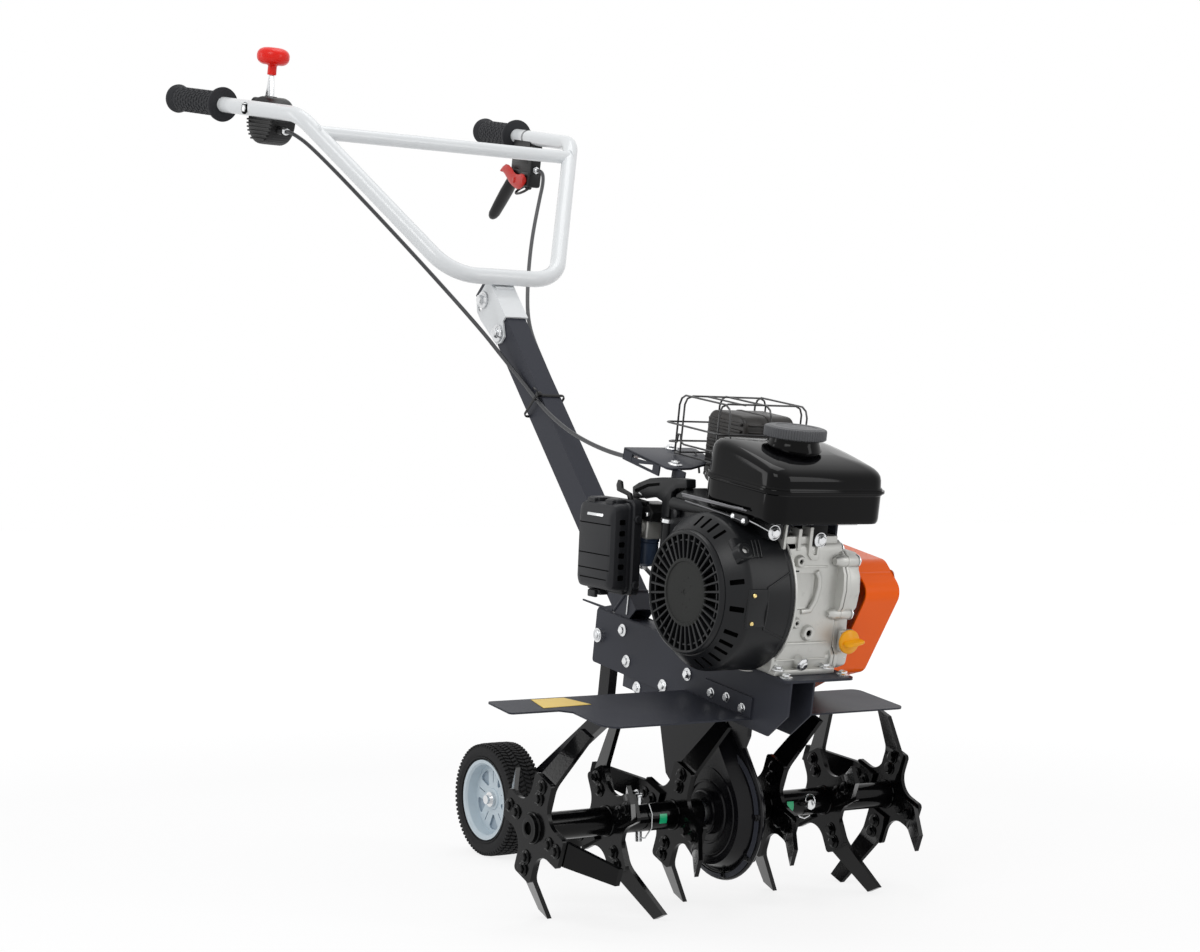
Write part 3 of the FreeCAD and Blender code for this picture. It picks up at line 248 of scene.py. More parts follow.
def casting(name, colour):
    """Die-cast aluminium: pale, slightly grainy skin with flow marks and darker hollows."""
    f = Finish(name)
    skin = f.noise(900, 4, 0.65)
    flow = f.noise(35, 5, 0.6)
    dirt = ((f.noise(120, 5, 0.7) - 0.58) * 6).most(0).least(1)
    base = f.mix(flow, tone(colour, 0.9), tone(colour, 1.08))
    return f.set(Base_Color=f.mix(dirt * 0.35, base, tone(colour, 0.62)), Metallic=0.55,
                 Roughness=0.42 + (skin - 0.5) * 0.2 + dirt * 0.1, Normal=f.bump(skin, 0.00012))


def burnt(name, colour):
    """Steel that the exhaust has heated: brown and straw clouds."""
    f = Finish(name)
    cloud = f.noise(45, 4, 0.6)
    skin = f.noise(1200, 3)
    straw = (0.02, 0.017, 0.015, 1)
    ramp = f.add("ShaderNodeValToRGB", {"stops": [(0.3, tone(colour, 0.8)), (0.55, straw),
                                                 (0.75, tone(colour, 1.2))]}, cloud)[0]
    return f.set(Base_Color=ramp, Metallic=0.25, Roughness=0.42 + (cloud - 0.5) * 0.3,
                 Normal=f.bump(skin, 0.00006))


WHITE_BAR = enamel("handlebar_enamel", level_colour(232, 235, 237), rough=0.24, coat=0.35, peel=0.00004,
                   clouds=0.02, shine=0.3)
ANTHRACITE = enamel("anthracite_powder_coat", level_colour(50, 52, 60), rough=0.42, coat=0.0, peel=0.00007,
                    grain=0.55, shine=0.16)
TINE_BLACK = enamel("tine_black_enamel", level_colour(9, 9, 10), rough=0.13, coat=0.0, peel=0.00008,
                    clouds=0.1, shine=0.16)
CASE_BLACK = enamel("chain_case_enamel", level_colour(17, 17, 20), rough=0.18, coat=0.0, clouds=0.1,
                    shine=0.2)
GUARD_ORANGE = enamel("belt_guard_orange", level_colour(255, 100, 0), coat=0.12, peel=0.00004, grain=0.1,
                      clouds=0.04, shine=0.14)
WIRE_BLACK = enamel("cage_wire_enamel", level_colour(36, 36, 38), rough=0.35, coat=0.3, peel=0.00004,
                    grain=0.3)
TANK_BLACK = enamel("tank_gloss_black", level_colour(3, 3, 4), rough=0.05, coat=0.0, peel=0.000008,
                    clouds=0.1, shine=0.12)
SHROUD = moulded("shroud_plastic", level_colour(24, 25, 27), rough=0.33, grain=0.00003, size=1700,
                 shine=0.22)
DISC_GRAIN = moulded("recoil_disc_grain", level_colour(38, 39, 38), rough=0.55, grain=0.00016, size=620,
                     clouds=0.14, shine=0.15)
PALE_HOLE = moulded("pale_hole", level_colour(222, 222, 220), rough=0.6, grain=0.00002, size=900,
                    clouds=0.04)
# Painted shade: a near-black finish put into slots, holes, seams and recesses where shade falls.
PAINTED_SHADE = moulded("slot_shadow", level_colour(5, 5, 5), rough=0.8, grain=0.00004, size=900, clouds=0.05,
                    shine=0.05)
BOX_BLACK = moulded("filter_box_plastic", level_colour(33, 34, 37), rough=0.44, grain=0.00006, shine=0.22)
CAP_GREY = moulded("cap_plastic", level_colour(82, 83, 86), rough=0.45, grain=0.00006, shine=0.3)
GRIP = moulded("grip_rubber", level_colour(44, 45, 48), rough=0.6, grain=0.0001, size=1100, clouds=0.1,
               shine=0.2)
CONTROL_BLACK = moulded("control_plastic", level_colour(20, 20, 21), rough=0.36, size=1600, shine=0.25)
TYRE = moulded("tyre_rubber", level_colour(36, 36, 37), rough=0.66, grain=0.00012, size=700, clouds=0.12,
               shine=0.15)
RIM = moulded("rim_plastic", level_colour(200, 213, 221), rough=0.38, grain=0.00004, size=1200, clouds=0.03)
# Painted shade: a darker copy of the rim's colour for the wheel's pockets and slits.
RIM_SHADE = moulded("rim_pocket_shade", level_colour(160, 175, 187), grain=0.00004, size=1200, clouds=0.03)
RED = moulded("knob_red", level_colour(238, 30, 18), rough=0.28, grain=0.00002, clouds=0.04, shine=0.3)
LOCK_RED = moulded("lock_red", level_colour(200, 34, 24), rough=0.32, grain=0.00003, clouds=0.05, shine=0.3)
AMBER = moulded("dipstick_amber", level_colour(250, 172, 20), rough=0.32, grain=0.00003, clouds=0.05,
                shine=0.3)
SHEATH = moulded("cable_sheath", level_colour(52, 53, 56), rough=0.45, grain=0.00003, size=1800)
BELT = moulded("belt_rubber", level_colour(26, 26, 26), rough=0.7, grain=0.0001, size=900, shine=0.15)
YELLOW = moulded("yellow_patch", level_colour(240, 200, 50), rough=0.4, grain=0.00001, size=900,
                 clouds=0.02, coat=0.3)
GREEN = moulded("green_patch", level_colour(24, 196, 132), rough=0.35, grain=0.00001, size=900, clouds=0.03,
                coat=0.4)
BOWL = moulded("float_bowl_grey", level_colour(62, 76, 98), rough=0.32, grain=0.00004, size=1200,
               clouds=0.08, shine=0.3)
ZINC = plated("zinc_plate", (0.74, 0.75, 0.76, 1), 0.26)
STEEL = plated("bare_steel", (0.62, 0.63, 0.64, 1), 0.34, (1, 1, 6))
BRASS = plated("brass_rivet", (0.8, 0.62, 0.26, 1), 0.3)
ALLOY = casting("cast_alloy", level_colour(196, 196, 192))
EXHAUST = burnt("exhaust_steel", (0.016, 0.016, 0.017, 1))
IRON = plated("pulley_iron", (0.22, 0.22, 0.23, 1), 0.45)


# ------------------------------------------------------------------ ways of making pieces

SIDE = Matrix(((1, 0, 0, 0), (0, 0, -1, 0), (0, 1, 0, 0), (0, 0, 0, 1)))
FRONT = Matrix(((0, 0, 1, 0), (1, 0, 0, 0), (0, 1, 0, 0), (0, 0, 0, 1)))
TOP = Matrix.Identity(4)
VIEWS = {"side": SIDE, "front": FRONT, "top": TOP}
AXIS = 0.01     # the radius of a turned form's first corner, just off its axis


def moved(x=0.0, y=0.0, z=0.0, turn=None):
    """A place, with a turn in degrees about X, Y and Z before it."""
    place = Matrix.Translation((x, y, z))
    return place @ Euler([math.radians(a) for a in turn]).to_matrix().to_4x4() if turn else place


def facing(point, out, up=(0, 0, 1)):
    """A frame at a point whose Z looks out."""
    z = Vector(out).normalized()
    x = Vector(up).cross(z)
    x = Vector((1, 0, 0)) if x.length < 1e-6 else x.normalized()
    turn = Matrix((x, z.cross(x), z)).transposed().to_4x4()
    return Matrix.Translation(Vector(point)) @ turn


def rounded(x, y, radius, steps=5):
    """The outline of a rectangle between two x and two y, with round corners."""
    (x0, x1), (y0, y1) = x, y
    spots = []
    for cx, cy, start in ((x1 - radius, y1 - radius, 0), (x0 + radius, y1 - radius, 90),
                          (x0 + radius, y0 + radius, 180), (x1 - radius, y0 + radius, 270)):
        for i in range(steps + 1):
            a = math.radians(start + 90 * i / steps)
            spots.append((cx + radius * math.cos(a), cy + radius * math.sin(a)))
    return spots


def angles(count):
    """So many angles once round a circle."""
    return [math.tau * i / count for i in range(count)]


def placed(name, data):
    """An object of its data, in the scene."""
    thing = bpy.data.objects.new(name, data)
    bpy.context.scene.collection.objects.link(thing)
    return thing


def settle(piece):
    """The piece's modifiers, worked into a plain mesh and removed."""
    bpy.context.view_layer.update()
    solid = bpy.data.meshes.new_from_object(piece.evaluated_get(bpy.context.evaluated_depsgraph_get()))
    piece.modifiers.clear()
    piece.data = solid
    return solid


class Form:
    """A piece gathered part by part, in millimetres of one frame."""

    def __init__(self, place=None):
        self.whole = bmesh.new()
        self.finishes = []
        self.place = place or Matrix.Identity(4)

    def _slot(self, finish):
        if finish not in self.finishes:
            self.finishes.append(finish)
        return self.finishes.index(finish)

    def take(self, part, finish, at=None, bevel=0.0, steps=2, angle=30):
        """Bevel a part's sharp edges and join it to the piece."""
        bmesh.ops.remove_doubles(part, verts=part.verts, dist=1e-4)
        bmesh.ops.recalc_face_normals(part, faces=part.faces)
        if bevel:
            sharp = [e for e in part.edges if len(e.link_faces) == 2
                     and e.calc_face_angle(0) > math.radians(angle)]
            bmesh.ops.bevel(part, geom=sharp, offset=bevel, segments=steps, profile=0.5,
                            affect="EDGES", clamp_overlap=True)
        for face in part.faces:
            face.material_index = self._slot(finish)
        bmesh.ops.transform(part, matrix=self.place @ (at or Matrix.Identity(4)), verts=part.verts)
        mesh = bpy.data.meshes.new("part")
        part.to_mesh(mesh)
        part.free()
        self.whole.from_mesh(mesh)
        bpy.data.meshes.remove(mesh)
        return self

    def loft(self, rings, finish, caps=True, closed=False, **rest):
        """A skin through rings of points of the same number."""
        part = bmesh.new()
        rows = [[part.verts.new(p) for p in ring] for ring in rings]
        count = len(rows[0])
        pairs = list(zip(rows, rows[1:])) + ([(rows[-1], rows[0])] if closed else [])
        for low, high in pairs:
            for i in range(count):
                part.faces.new((low[i], low[(i + 1) % count], high[(i + 1) % count], high[i]))
        if caps and not closed:
            part.faces.new(rows[0][::-1])
            part.faces.new(rows[-1])
        return self.take(part, finish, **rest)

    def prism(self, outline, low, high, finish, view="side", **rest):
        """An outline seen from the side, front or top, between two planes."""
        turn = VIEWS[view]
        flip = -1 if view == "side" else 1
        rings = [[turn @ Vector((a, b, flip * c)) for a, b in outline] for c in (low, high)]
        return self.loft(rings, finish, **rest)

    def block(self, x, y, z, finish, bevel=1.0, **rest):
        """A box between two x, two y and two z."""
        return self.prism([(x[0], y[0]), (x[1], y[0]), (x[1], y[1]), (x[0], y[1])], z[0], z[1],
                          finish, "top", bevel=bevel, **rest)

    def turned(self, profile, finish, at=None, count=48, closed=False, **rest):
        """A form turned about Z from corners of radius and height."""
        rings = [[(r * math.cos(a), r * math.sin(a), h) for a in angles(count)] for r, h in profile]
        return self.loft(rings, finish, closed=closed, at=at, **rest)

    def tube(self, points, radius, finish, count=10, closed=False, wide=None, **rest):
        """A round or flattened bar along points, with mitred corners."""
        points = [Vector(p) for p in points]
        rings, side = [], None
        total = len(points)
        for i, point in enumerate(points):
            before = points[i - 1] if i or closed else point
            after = points[(i + 1) % total] if i < total - 1 or closed else point
            run = ((after - point).normalized() + (point - before).normalized()).normalized()
            if side is None:
                side = (run.orthogonal() if wide is None else run.cross(Vector(wide[1]))).normalized()
            side = (side - run * side.dot(run)).normalized()
            up = run.cross(side)
            tall = radius if wide is None else wide[0]
            rings.append([point + side * radius * math.cos(a) + up * tall * math.sin(a)
                          for a in angles(count)])
        return self.loft(rings, finish, caps=not closed, closed=closed, **rest)

    def make(self, name, body, frame=LEVEL, replaces=(), slot=None, angle=32, cut=None):
        """The finished piece, smooth but for its sharp edges, riding on its body."""
        mesh = bpy.data.meshes.new(name)
        bmesh.ops.transform(self.whole, matrix=frame, verts=self.whole.verts)
        self.whole.to_mesh(mesh)
        self.whole.free()
        for finish in self.finishes:
            mesh.materials.append(finish)
        piece = placed(name, mesh)
        if cut:
            cut_away(piece, cut, frame)
        piece.data.shade_smooth()
        piece.data.set_sharp_from_angle(angle=math.radians(angle))
        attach(piece, body)
        if replaces:
            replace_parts(piece, *replaces)
        return piece


def cut_away(piece, tool, frame):
    """Cut another form out of a piece."""
    mesh = bpy.data.meshes.new("tool")
    bmesh.ops.transform(tool.whole, matrix=frame, verts=tool.whole.verts)
    tool.whole.to_mesh(mesh)
    tool.whole.free()
    for finish in tool.finishes:
        mesh.materials.append(finish)
    other = placed("tool", mesh)
    cutter = piece.modifiers.new("cut", "BOOLEAN")
    cutter.operation, cutter.solver, cutter.object = "DIFFERENCE", "EXACT", other
    cutter.material_mode = "TRANSFER"
    settle(piece)
    bpy.data.objects.remove(other)


# ------------------------------------------------------------------ fasteners by rule

def geometry_tree(name, inputs):
    """An empty geometry tree with named inputs, and the sockets inside it."""
    group = bpy.data.node_groups.new(name, "GeometryNodeTree")
    group.interface.new_socket("Geometry", in_out="INPUT", socket_type="NodeSocketGeometry")
    for label, kind, value in inputs:
        socket = group.interface.new_socket(label, in_out="INPUT", socket_type=kind)
        if value is not None:
            socket.default_value = value
    group.interface.new_socket("Geometry", in_out="OUTPUT", socket_type="NodeSocketGeometry")
    tree = Tree(group)
    return group, tree, tree.add("NodeGroupInput"), tree.add("NodeGroupOutput")


def bolt_tree():
    """A bolt on every point, turned to the point's normal: a washer flange, a hexagon and a dished top."""
    group, tree, given, out = geometry_tree("bolts_on_points", (
        ("Across", "NodeSocketFloat", 0.01), ("Height", "NodeSocketFloat", 0.005),
        ("Finish", "NodeSocketMaterial", None)))
    across, height = given["Across"], given["Height"]

    def lifted(shape, up):
        offset = tree.add("ShaderNodeCombineXYZ", None, 0.0, 0.0, up)
        return tree.add("GeometryNodeTransform", None, shape, Translation=offset[0])[0]

    washer = lifted(tree.add("GeometryNodeMeshCylinder", None, 20, 1, 1, across * 0.86, height * 0.24)[0],
                    height * 0.12)
    skirt = lifted(tree.add("GeometryNodeMeshCone", None, 20, 1, 1, across * 0.56, across * 0.78,
                            height * 0.24)[0],
                   height * 0.24)
    head = lifted(tree.add("GeometryNodeMeshCylinder", None, 6, 1, 1, across * 0.56, height * 0.5)[0],
                  height * 0.6)
    crown = lifted(tree.add("GeometryNodeMeshCone", None, 6, 1, 1, across * 0.42, across * 0.56,
                            height * 0.15)[0],
                   height * 0.85)
    joined = tree.add("GeometryNodeJoinGeometry")
    for shape in (washer, skirt, head, crown):
        group.links.new(shape.socket, joined.node.inputs[0])
    normal = tree.add("GeometryNodeInputNamedAttribute", {"data_type": "FLOAT_VECTOR"}, "out")
    turn = tree.add("FunctionNodeAlignRotationToVector", {"axis": "Z"}, Vector=normal[0])
    spots = tree.add("GeometryNodeInstanceOnPoints", None, given["Geometry"], Instance=joined[0],
                     Rotation=turn[0])
    flat = tree.add("GeometryNodeRealizeInstances", None, spots[0])
    finished = tree.add("GeometryNodeSetMaterial", None, flat[0], Material=given["Finish"])
    group.links.new(finished[0].socket, out.node.inputs[0])
    return group


BOLTS = bolt_tree()


def bolts(name, body, places, across, height, finish, frame=LEVEL):
    """Bolts at (point, outward direction) pairs of a frame, as one piece."""
    mesh = bpy.data.meshes.new(name)
    mesh.from_pydata([frame @ Vector(p) for p, _ in places], [], [])
    looks = mesh.attributes.new("out", "FLOAT_VECTOR", "POINT")
    for i, (_, out) in enumerate(places):
        looks.data[i].vector = (frame.to_3x3() @ Vector(out)).normalized()
    piece = placed(name, mesh)
    rule = piece.modifiers.new("rule", "NODES")
    rule.node_group = BOLTS
    for socket in BOLTS.interface.items_tree:
        if socket.in_out == "INPUT":
            value = {"Across": across / 1000, "Height": height / 1000, "Finish": finish}.get(socket.name)
            if value is not None:
                rule[socket.identifier] = value
    solid = settle(piece)
    solid.shade_smooth()
    solid.set_sharp_from_angle(angle=math.radians(30))
    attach(piece, body)
    return piece


def block_tree():
    """A block on every point, turned and stretched as the point says."""
    group, tree, given, out = geometry_tree("blocks_on_points", (
        ("Block", "NodeSocketVector", (0.01, 0.01, 0.004)), ("Finish", "NodeSocketMaterial", None)))
    cube = tree.add("GeometryNodeMeshCube", None, given["Block"], 2, 2, 2)
    turn = tree.add("GeometryNodeInputNamedAttribute", {"data_type": "FLOAT_VECTOR"}, "turn")
    stretch = tree.add("GeometryNodeInputNamedAttribute", {"data_type": "FLOAT_VECTOR"}, "grow")
    spots = tree.add("GeometryNodeInstanceOnPoints", None, given["Geometry"], Instance=cube[0],
                     Rotation=turn[0], Scale=stretch[0])
    flat = tree.add("GeometryNodeRealizeInstances", None, spots[0])
    finished = tree.add("GeometryNodeSetMaterial", None, flat[0], Material=given["Finish"])
    group.links.new(finished[0].socket, out.node.inputs[0])
    return group


BLOCKS = block_tree()


def blocks(name, body, frame, spots, block, finish, bevel):
    """Blocks at (point, turn, stretch) spots of a frame, as one piece with softened edges."""
    mesh = bpy.data.meshes.new(name)
    mesh.from_pydata([frame @ point for point, _, _ in spots], [], [])
    turns = mesh.attributes.new("turn", "FLOAT_VECTOR", "POINT")
    grows = mesh.attributes.new("grow", "FLOAT_VECTOR", "POINT")
    for i, (_, turn, grow) in enumerate(spots):
        turns.data[i].vector = (frame.to_3x3().normalized() @ turn).to_euler()
        grows.data[i].vector = grow
    piece = placed(name, mesh)
    rule = piece.modifiers.new("rule", "NODES")
    rule.node_group = BLOCKS
    for socket in BLOCKS.interface.items_tree:
        if socket.in_out == "INPUT" and socket.name in ("Block", "Finish"):
            rule[socket.identifier] = finish if socket.name == "Finish" else block
    soft = piece.modifiers.new("edges", "BEVEL")
    soft.width, soft.segments, soft.limit_method = bevel, 1, "ANGLE"
    settle(piece)
    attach(piece, body)
    return piece


# ------------------------------------------------------------------ the CAD nodes' own finishes

DRESS = {
    ANTHRACITE: ("side_plate_right", "side_plate_left", "engine_deck", "fender_right", "fender_left",
                 "column", "tank_rack", "throttle_bracket"),
    CASE_BLACK: ("case_carrier", "case_dish_right", "case_dish_left", "wheel_strut"),
    TINE_BLACK: ("tines_inner_left", "tines_middle_left", "tines_outer_left", "tines_inner_right",
                 "tines_middle_right", "tines_outer_right", "tine_tube_left", "tine_tube_right"),
    ZINC: ("strut_pin", "bracket_bolts", "hitch_pins", "wheel_axle", "throttle_lever"),
    STEEL: ("output_shaft",),
    WHITE_BAR: ("handlebar", "handlebar_bracket"),
    ALLOY: ("crankcase", "crankcase_cover", "cylinder", "carburettor"),
    SHROUD: ("blower_shroud", "recoil_cover"),
    TANK_BLACK: ("fuel_tank",),
    CAP_GREY: ("fuel_cap",),
    BOX_BLACK: ("air_filter",),
    EXHAUST: ("muffler",),
    WIRE_BLACK: ("muffler_cage",),
    GUARD_ORANGE: ("belt_guard",),
    IRON: ("engine_pulley", "input_pulley"),
    AMBER: ("dipstick",),
    GRIP: ("grip_right", "grip_left"),
    CONTROL_BLACK: ("throttle_drum", "clutch_mount", "clutch_lever", "cable_tie"),
    RED: ("throttle_knob",),
    LOCK_RED: ("clutch_lock",),
    TYRE: ("tyre",),
    RIM: ("rim",),
    SHEATH: ("throttle_cable", "clutch_cable"),
}


def dress():
    """Each CAD node takes its finish."""
    for finish, names in DRESS.items():
        for name in names:
            node = NODES[name]
            node.data.materials.clear()
            node.data.materials.append(finish)


dress()


# ------------------------------------------------------------------ engine

CRANK = (32.0, 272.0)
BLOWER_RADIUS, BLOWER_SHOULDER, BLOWER_FACE, BLOWER_BACK = 90.0, 84.0, 104.0, 25.0
RECOIL_RADIUS, RECOIL_FACE, RECOIL_DISC, RECOIL_RING = 70.0, 110.0, 37.0, 65.5
RECOIL_RIBS, RECOIL_HOLES = 36, 7
FIN_COUNT, FIN_PITCH, FIN_THICK = 12, 6.2, 1.8
CRANK_OUT = moved(CRANK[0], 0, CRANK[1], (90, 0, 0))


def on_drum(angle, side, out=0.0):
    """A point on the blower's drum, by its angle up from the front and its distance to the right."""
    a = math.radians(angle)
    r = BLOWER_RADIUS + out
    return (CRANK[0] + r * math.cos(a), -side, CRANK[1] + r * math.sin(a))


def out_of_drum(angle):
    """The direction straight out of the drum at that angle."""
    a = math.radians(angle)
    return (math.cos(a), 0, math.sin(a))


def ribbed_cover():
    """The recoil starter's cover: a disc and a ring joined by radial ribs over a disc of painted shade."""
    form = Form()
    face = RECOIL_FACE
    lip = [(RECOIL_RING, face - 6), (RECOIL_RING, face - 1), (RECOIL_RING + 1.2, face),
           (RECOIL_RADIUS - 2.2, face), (RECOIL_RADIUS - 0.6, face - 1), (RECOIL_RADIUS, face - 2.6),
           (RECOIL_RADIUS + 0.6, BLOWER_FACE - 1), (RECOIL_RING, BLOWER_FACE - 1)]
    form.turned(lip, SHROUD, CRANK_OUT, 96, closed=True)
    disc = [(AXIS, face - 7), (RECOIL_DISC, face - 7), (RECOIL_DISC + 2, face - 3),
            (RECOIL_DISC + 1.6, face - 1.2), (RECOIL_DISC, face - 0.6), (RECOIL_DISC - 2, face - 0.6),
            (RECOIL_DISC - 2.8, face - 1.7), (12, face - 1.2), (3.2, face - 1.5), (2.4, face - 2.2),
            (AXIS, face - 2.2)]
    form.turned(disc, DISC_GRAIN, CRANK_OUT, 64)
    for i in range(RECOIL_RIBS):
        turn = CRANK_OUT @ moved(turn=(0, 0, 360 * i / RECOIL_RIBS + 2))
        rib = [[(RECOIL_DISC - 1, -w, h), (RECOIL_DISC - 1, w, h), (RECOIL_RING + 2, w * 1.35, h),
                (RECOIL_RING + 2, -w * 1.35, h)]
               for w, h in ((1.3, face - 7), (1.2, face - 1.4), (0.7, face - 0.8))]
        form.loft(rib, SHROUD, at=turn)
    form.turned([(58, face - 5), (60, face - 5), (59.8, face - 2.6), (58.2, face - 2.6)], SHROUD, CRANK_OUT,
                72, closed=True)
    for i in range(RECOIL_HOLES):
        a = math.radians(31 + 51.4 * i)
        form.turned([(AXIS, face - 2), (1.2, face - 2), (0.8, face - 1.0), (AXIS, face - 0.9)], DISC_GRAIN,
                    CRANK_OUT @ moved(9 * math.cos(a) + 3, 17 * math.sin(a), 0), 8)
    # A disc of painted shade under the ribs, behind the cover.
    form.turned([(AXIS, 96.2), (RECOIL_RING + 1, 96.2), (RECOIL_RING + 1, 98), (30, 101), (AXIS, 101.4)],
                PAINTED_SHADE, CRANK_OUT, 40)
    form.make("recoil_cover_ribbed", "chassis", replaces=("recoil_cover",), slot="shroud_plastic")


def shroud():
    """The blower's housing: a drum with a rounded shoulder and cooling slots."""
    form = Form()
    cone = [(BLOWER_RADIUS, BLOWER_SHOULDER - 4), (BLOWER_RADIUS - 0.5, BLOWER_SHOULDER - 1),
            (BLOWER_RADIUS - 1.8, BLOWER_SHOULDER + 1.6), (BLOWER_RADIUS - 4.2, BLOWER_SHOULDER + 4.4),
            (RECOIL_RADIUS + 6, BLOWER_FACE - 4), (RECOIL_RADIUS + 3, BLOWER_FACE - 1.4),
            (RECOIL_RADIUS + 1.6, BLOWER_FACE)]
    form.turned([(AXIS, BLOWER_BACK), (BLOWER_RADIUS, BLOWER_BACK)] + cone + [(AXIS, BLOWER_FACE)],
                SHROUD, CRANK_OUT, 120)
    # The slots' walls and the recoil cover's seat are cut with painted shade.
    slots = Form()
    slots.turned([(AXIS, BLOWER_FACE - 8), (RECOIL_RING, BLOWER_FACE - 8), (RECOIL_RING, BLOWER_FACE + 2),
                  (AXIS, BLOWER_FACE + 2)], PAINTED_SHADE, CRANK_OUT, 60)
    wide_slots = ((19.5, 12, 2.9), (-2, 16, 3.1), (-22.5, 15, 2.8), (-33, 13, 2.6), (-42, 16, 2.3),
                  (-52, 17, 2.2), (-63, 17, 2.1), (-74, 15, 2.1))
    top_slots = tuple((angle, 10, 2.2) for angle in (64, 74, 84, 94))
    rear_slots = tuple((angle, 14, 2.2) for angle in (150, 168, 186, 204))
    for angle, reach, half in wide_slots + top_slots + rear_slots:
        across = CRANK_OUT @ moved(turn=(0, 0, angle)) @ moved(81, 0, 95, (0, 38, 0))
        slots.block((-8, 8), (-half, half), (-reach / 2, reach / 2), PAINTED_SHADE, 0.8, at=across)
    form.make("blower_drum", "chassis", replaces=("blower_shroud",), slot="shroud_plastic", cut=slots)


def shroud_details():
    """The housing's duct and arm, its seam, its raised lines, pad and hood, and two rivets."""
    extra = Form()
    duct = [(-56, 296), (-72, 318), (-74, 350), (-66, 368), (-48, 378), (-40, 372), (20, 352), (22, 300)]
    extra.prism(duct, -64, -26, SHROUD, bevel=4, steps=3)
    arm = [(-152, 361), (-140, 368), (-118, 377), (-94, 382), (-66, 386), (-44, 388), (-42, 378), (-62, 374),
           (-71, 368), (-72, 338), (-87, 335), (-89, 354), (-104, 357), (-126, 352), (-149, 347)]
    extra.prism(arm, -66, -52, SHROUD, bevel=1.4)
    # A thin strip of painted shade along the arm.
    extra.prism([(-146, 358.6), (-120, 370), (-97, 375), (-97, 371.6), (-119, 366.6), (-144, 355.6)], -66.5,
                -65, PAINTED_SHADE)
    extra.turned([(8, -3.4), (9.4, -3), (9.4, 1.2), (8, 1.6)], ZINC, moved(-79, -60, 334), 28, closed=True)
    extra.turned([(AXIS, 300), (7.8, 300), (7.8, 337), (AXIS, 337)], SHROUD, moved(-79, -60, 0), 24)
    extra.loft([[(x + lean * math.cos(a), y + wide * math.cos(a), z + tall * math.sin(a)) for a in angles(20)]
                for x, y, z, lean, wide, tall in ((-64, -66, 356, 1.5, 6, 8), (0, -67, 360, 0, 3.6, 5),
                                                  (78, -68, 362, 0, 1.6, 1.8))], SHROUD)
    extra.turned([(AXIS, 0), (4.6, 0.4), (5.6, 3.4), (4.6, 6.6), (AXIS, 8)], SHROUD,
                 facing((-54, -64, 346), (0, -1, 0)), 20)
    seam = [(AXIS, 23.2), (BLOWER_RADIUS + 1.2, 23.2), (BLOWER_RADIUS + 1.2, 27), (BLOWER_RADIUS, 28.4),
            (AXIS, 28.4)]
    extra.turned(seam, SHROUD, CRANK_OUT, 110)
    extra.turned([(RECOIL_RING, 20), (BLOWER_RADIUS + 2.6, 20), (BLOWER_RADIUS + 2.6, 22.6),
                  (RECOIL_RING, 22.6)], ALLOY, CRANK_OUT, 110, closed=True)
    for low, high in ((14, 25), (-16, -25)):
        line = [on_drum(low + (high - low) * i / 10, 60 - 34 * i / 10, 0.2) for i in range(11)]
        extra.tube(line, 1.2, SHROUD, 8)
    extra.tube([on_drum(-16 + 30 * i / 10, 60, 0.2) for i in range(11)], 1.2, SHROUD, 8)
    pad_foot = ((-15, 86), (-7, 87.6), (2, 87.6), (14, 85), (14, 59), (5, 59), (-5, 59), (-15, 59))
    pad_top = ((-14, 85), (-7, 86.6), (2, 86.6), (13, 84), (13, 60), (5, 60), (-5, 60), (-14, 60))
    extra.loft([[on_drum(a, s, out) for a, s in ring] for ring, out in ((pad_foot, -1), (pad_top, 1.2))],
               SHROUD, bevel=0.5)
    hood_foot = ((33, 94), (54, 94), (54, 62), (36, 60))
    hood_top = ((34, 92), (53, 92), (52, 63), (37, 62))
    extra.loft([[on_drum(a, s, out) for a, s in ring] for ring, out in ((hood_foot, -6), (hood_top, 1.6))],
               SHROUD, bevel=1.6)
    for side in (72, 67, 62):
        extra.tube([on_drum(36 + 2 * i, side - 0.6 * i, 1.4) for i in range(8)], 1.0, SHROUD, 6)
    boss = facing(on_drum(41, 84, -5), out_of_drum(41), (0, 1, 0))
    extra.turned([(3.4, 0), (12, 0), (10, 8), (8.4, 9.4), (4.4, 9.4), (3.4, 8.4)], SHROUD, boss, 24,
                 closed=True)
    extra.turned([(AXIS, 6.2), (3.6, 6.2), (3.6, 5), (AXIS, 5)], PALE_HOLE, boss, 14)
    for angle in (9, -11):
        spot = facing(on_drum(angle, 79, 1.2), out_of_drum(angle), (0, 1, 0))
        extra.turned([(AXIS, -1), (2.5, -1), (2.5, 0.6), (1.6, 1.7), (0.8, 1.3), (AXIS, 1.2)], BRASS, spot,
                     14)
    extra.make("shroud_details", "chassis")


